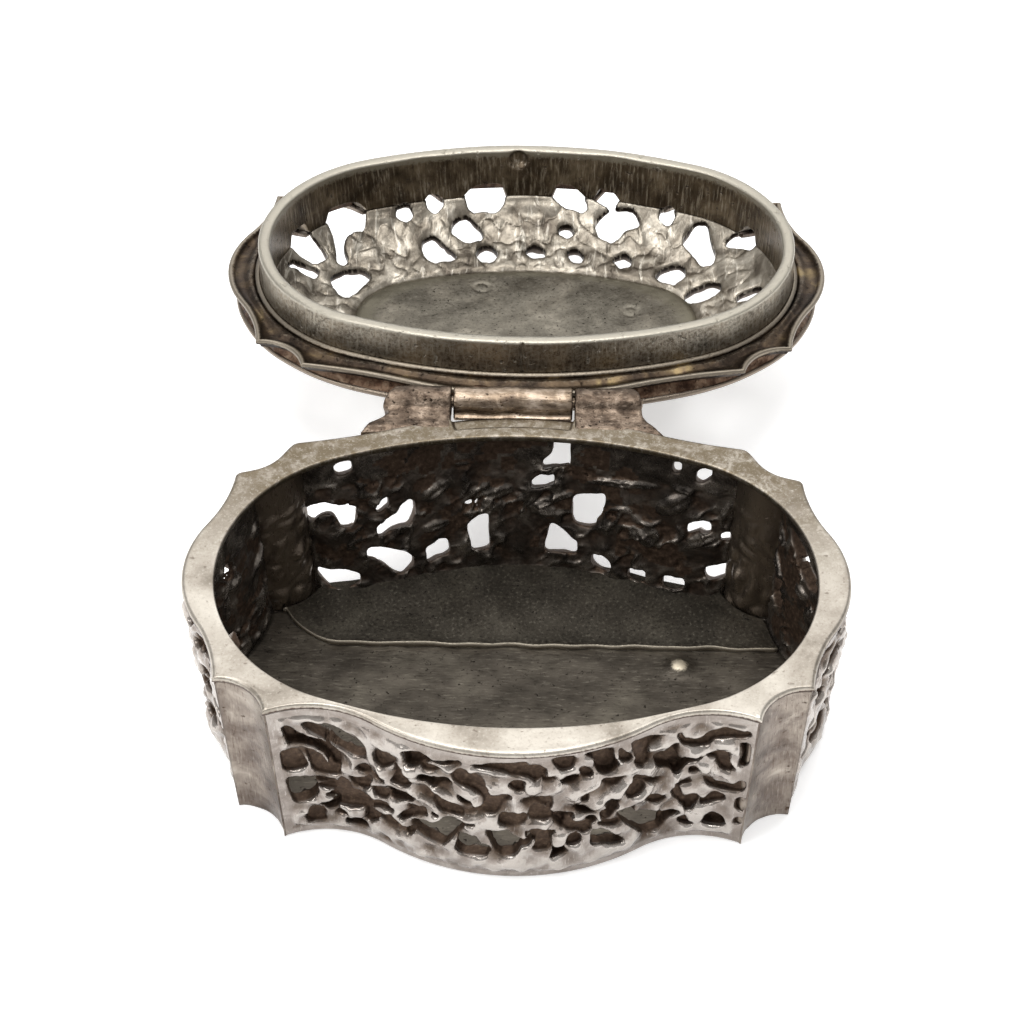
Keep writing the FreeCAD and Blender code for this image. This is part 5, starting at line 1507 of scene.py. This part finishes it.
def build_stage():
    size = TABLE_HALF_WIDTH
    mesh = bpy.data.meshes.new("table")
    corners = [(-size, -size, 0), (size, -size, 0), (size, size, 0), (-size, size, 0)]
    mesh.from_pydata(corners, [], [(0, 1, 2, 3)])
    table = bpy.data.objects.new("table", mesh)
    bpy.context.scene.collection.objects.link(table)
    paper = bpy.data.materials.new("paper")
    paper.use_nodes = True
    shader = paper.node_tree.nodes["Principled BSDF"]
    shader.inputs["Base Color"].default_value = (0.93, 0.93, 0.93, 1)
    shader.inputs["Roughness"].default_value = 0.9
    shader.inputs["Specular IOR Level"].default_value = 0.0
    shader.inputs["Emission Color"].default_value = (1, 1, 1, 1)
    shader.inputs["Emission Strength"].default_value = PAPER_GLOW
    mesh.materials.append(paper)
    scene = bpy.context.scene
    world = bpy.data.worlds.new("studio")
    world.use_nodes = True
    world.node_tree.nodes["Background"].inputs["Color"].default_value = (1, 1, 1, 1)
    world.node_tree.nodes["Background"].inputs["Strength"].default_value = WORLD_STRENGTH
    scene.world = world
    scene.view_settings.view_transform = "Standard"
    for name, place, width, power in LAMPS:
        light = bpy.data.lights.new(name, "AREA")
        light.size = width
        light.energy = power
        lamp = bpy.data.objects.new(name, light)
        lamp.location = place
        lamp.rotation_euler = (Vector((0, 0, 0)) - Vector(place)).to_track_quat("-Z", "Y").to_euler()
        scene.collection.objects.link(lamp)


# The camera's elevation, turn and roll in degrees; its distance and offsets follow.
CAMERA_ELEVATION, CAMERA_TURN, CAMERA_ROLL = (math.radians(a) for a in (46.0027, 1.4855, -0.2014))
CAMERA_DISTANCE, CAMERA_TARGET_Z = 236.750, 10.0
CAMERA_OFFSET = (-0.2784, 8.4310)
CAMERA_LENS = 109.25


def build_camera():
    e, a, r = CAMERA_ELEVATION, CAMERA_TURN, CAMERA_ROLL
    back = Vector((math.sin(a) * math.cos(e), -math.cos(a) * math.cos(e), math.sin(e)))
    right = Vector((math.cos(a), math.sin(a), 0))
    up = back.cross(right)
    centre = Vector((0, 0, CAMERA_TARGET_Z)) + back * CAMERA_DISTANCE
    centre += right * CAMERA_OFFSET[0] + up * CAMERA_OFFSET[1]
    turned_right = right * math.cos(r) + up * math.sin(r)
    turned_up = up * math.cos(r) - right * math.sin(r)
    data = bpy.data.cameras.new("camera")
    data.lens = CAMERA_LENS
    data.sensor_width = 36
    data.clip_start = 0.01
    camera = bpy.data.objects.new("camera", data)
    turn = Matrix((turned_right, turned_up, back)).transposed()
    camera.matrix_world = Matrix.Translation(centre * MM) @ turn.to_4x4()
    bpy.context.scene.collection.objects.link(camera)
    bpy.context.scene.camera = camera


# ---------------------------------------------------------------- everything

build_panels()
build_flutes()
build_rim()
build_floor()
build_hinge()
build_dome()
build_ledge()
build_flange()
build_band()
build_collar()
build_medallion()
build_stage()
build_camera()
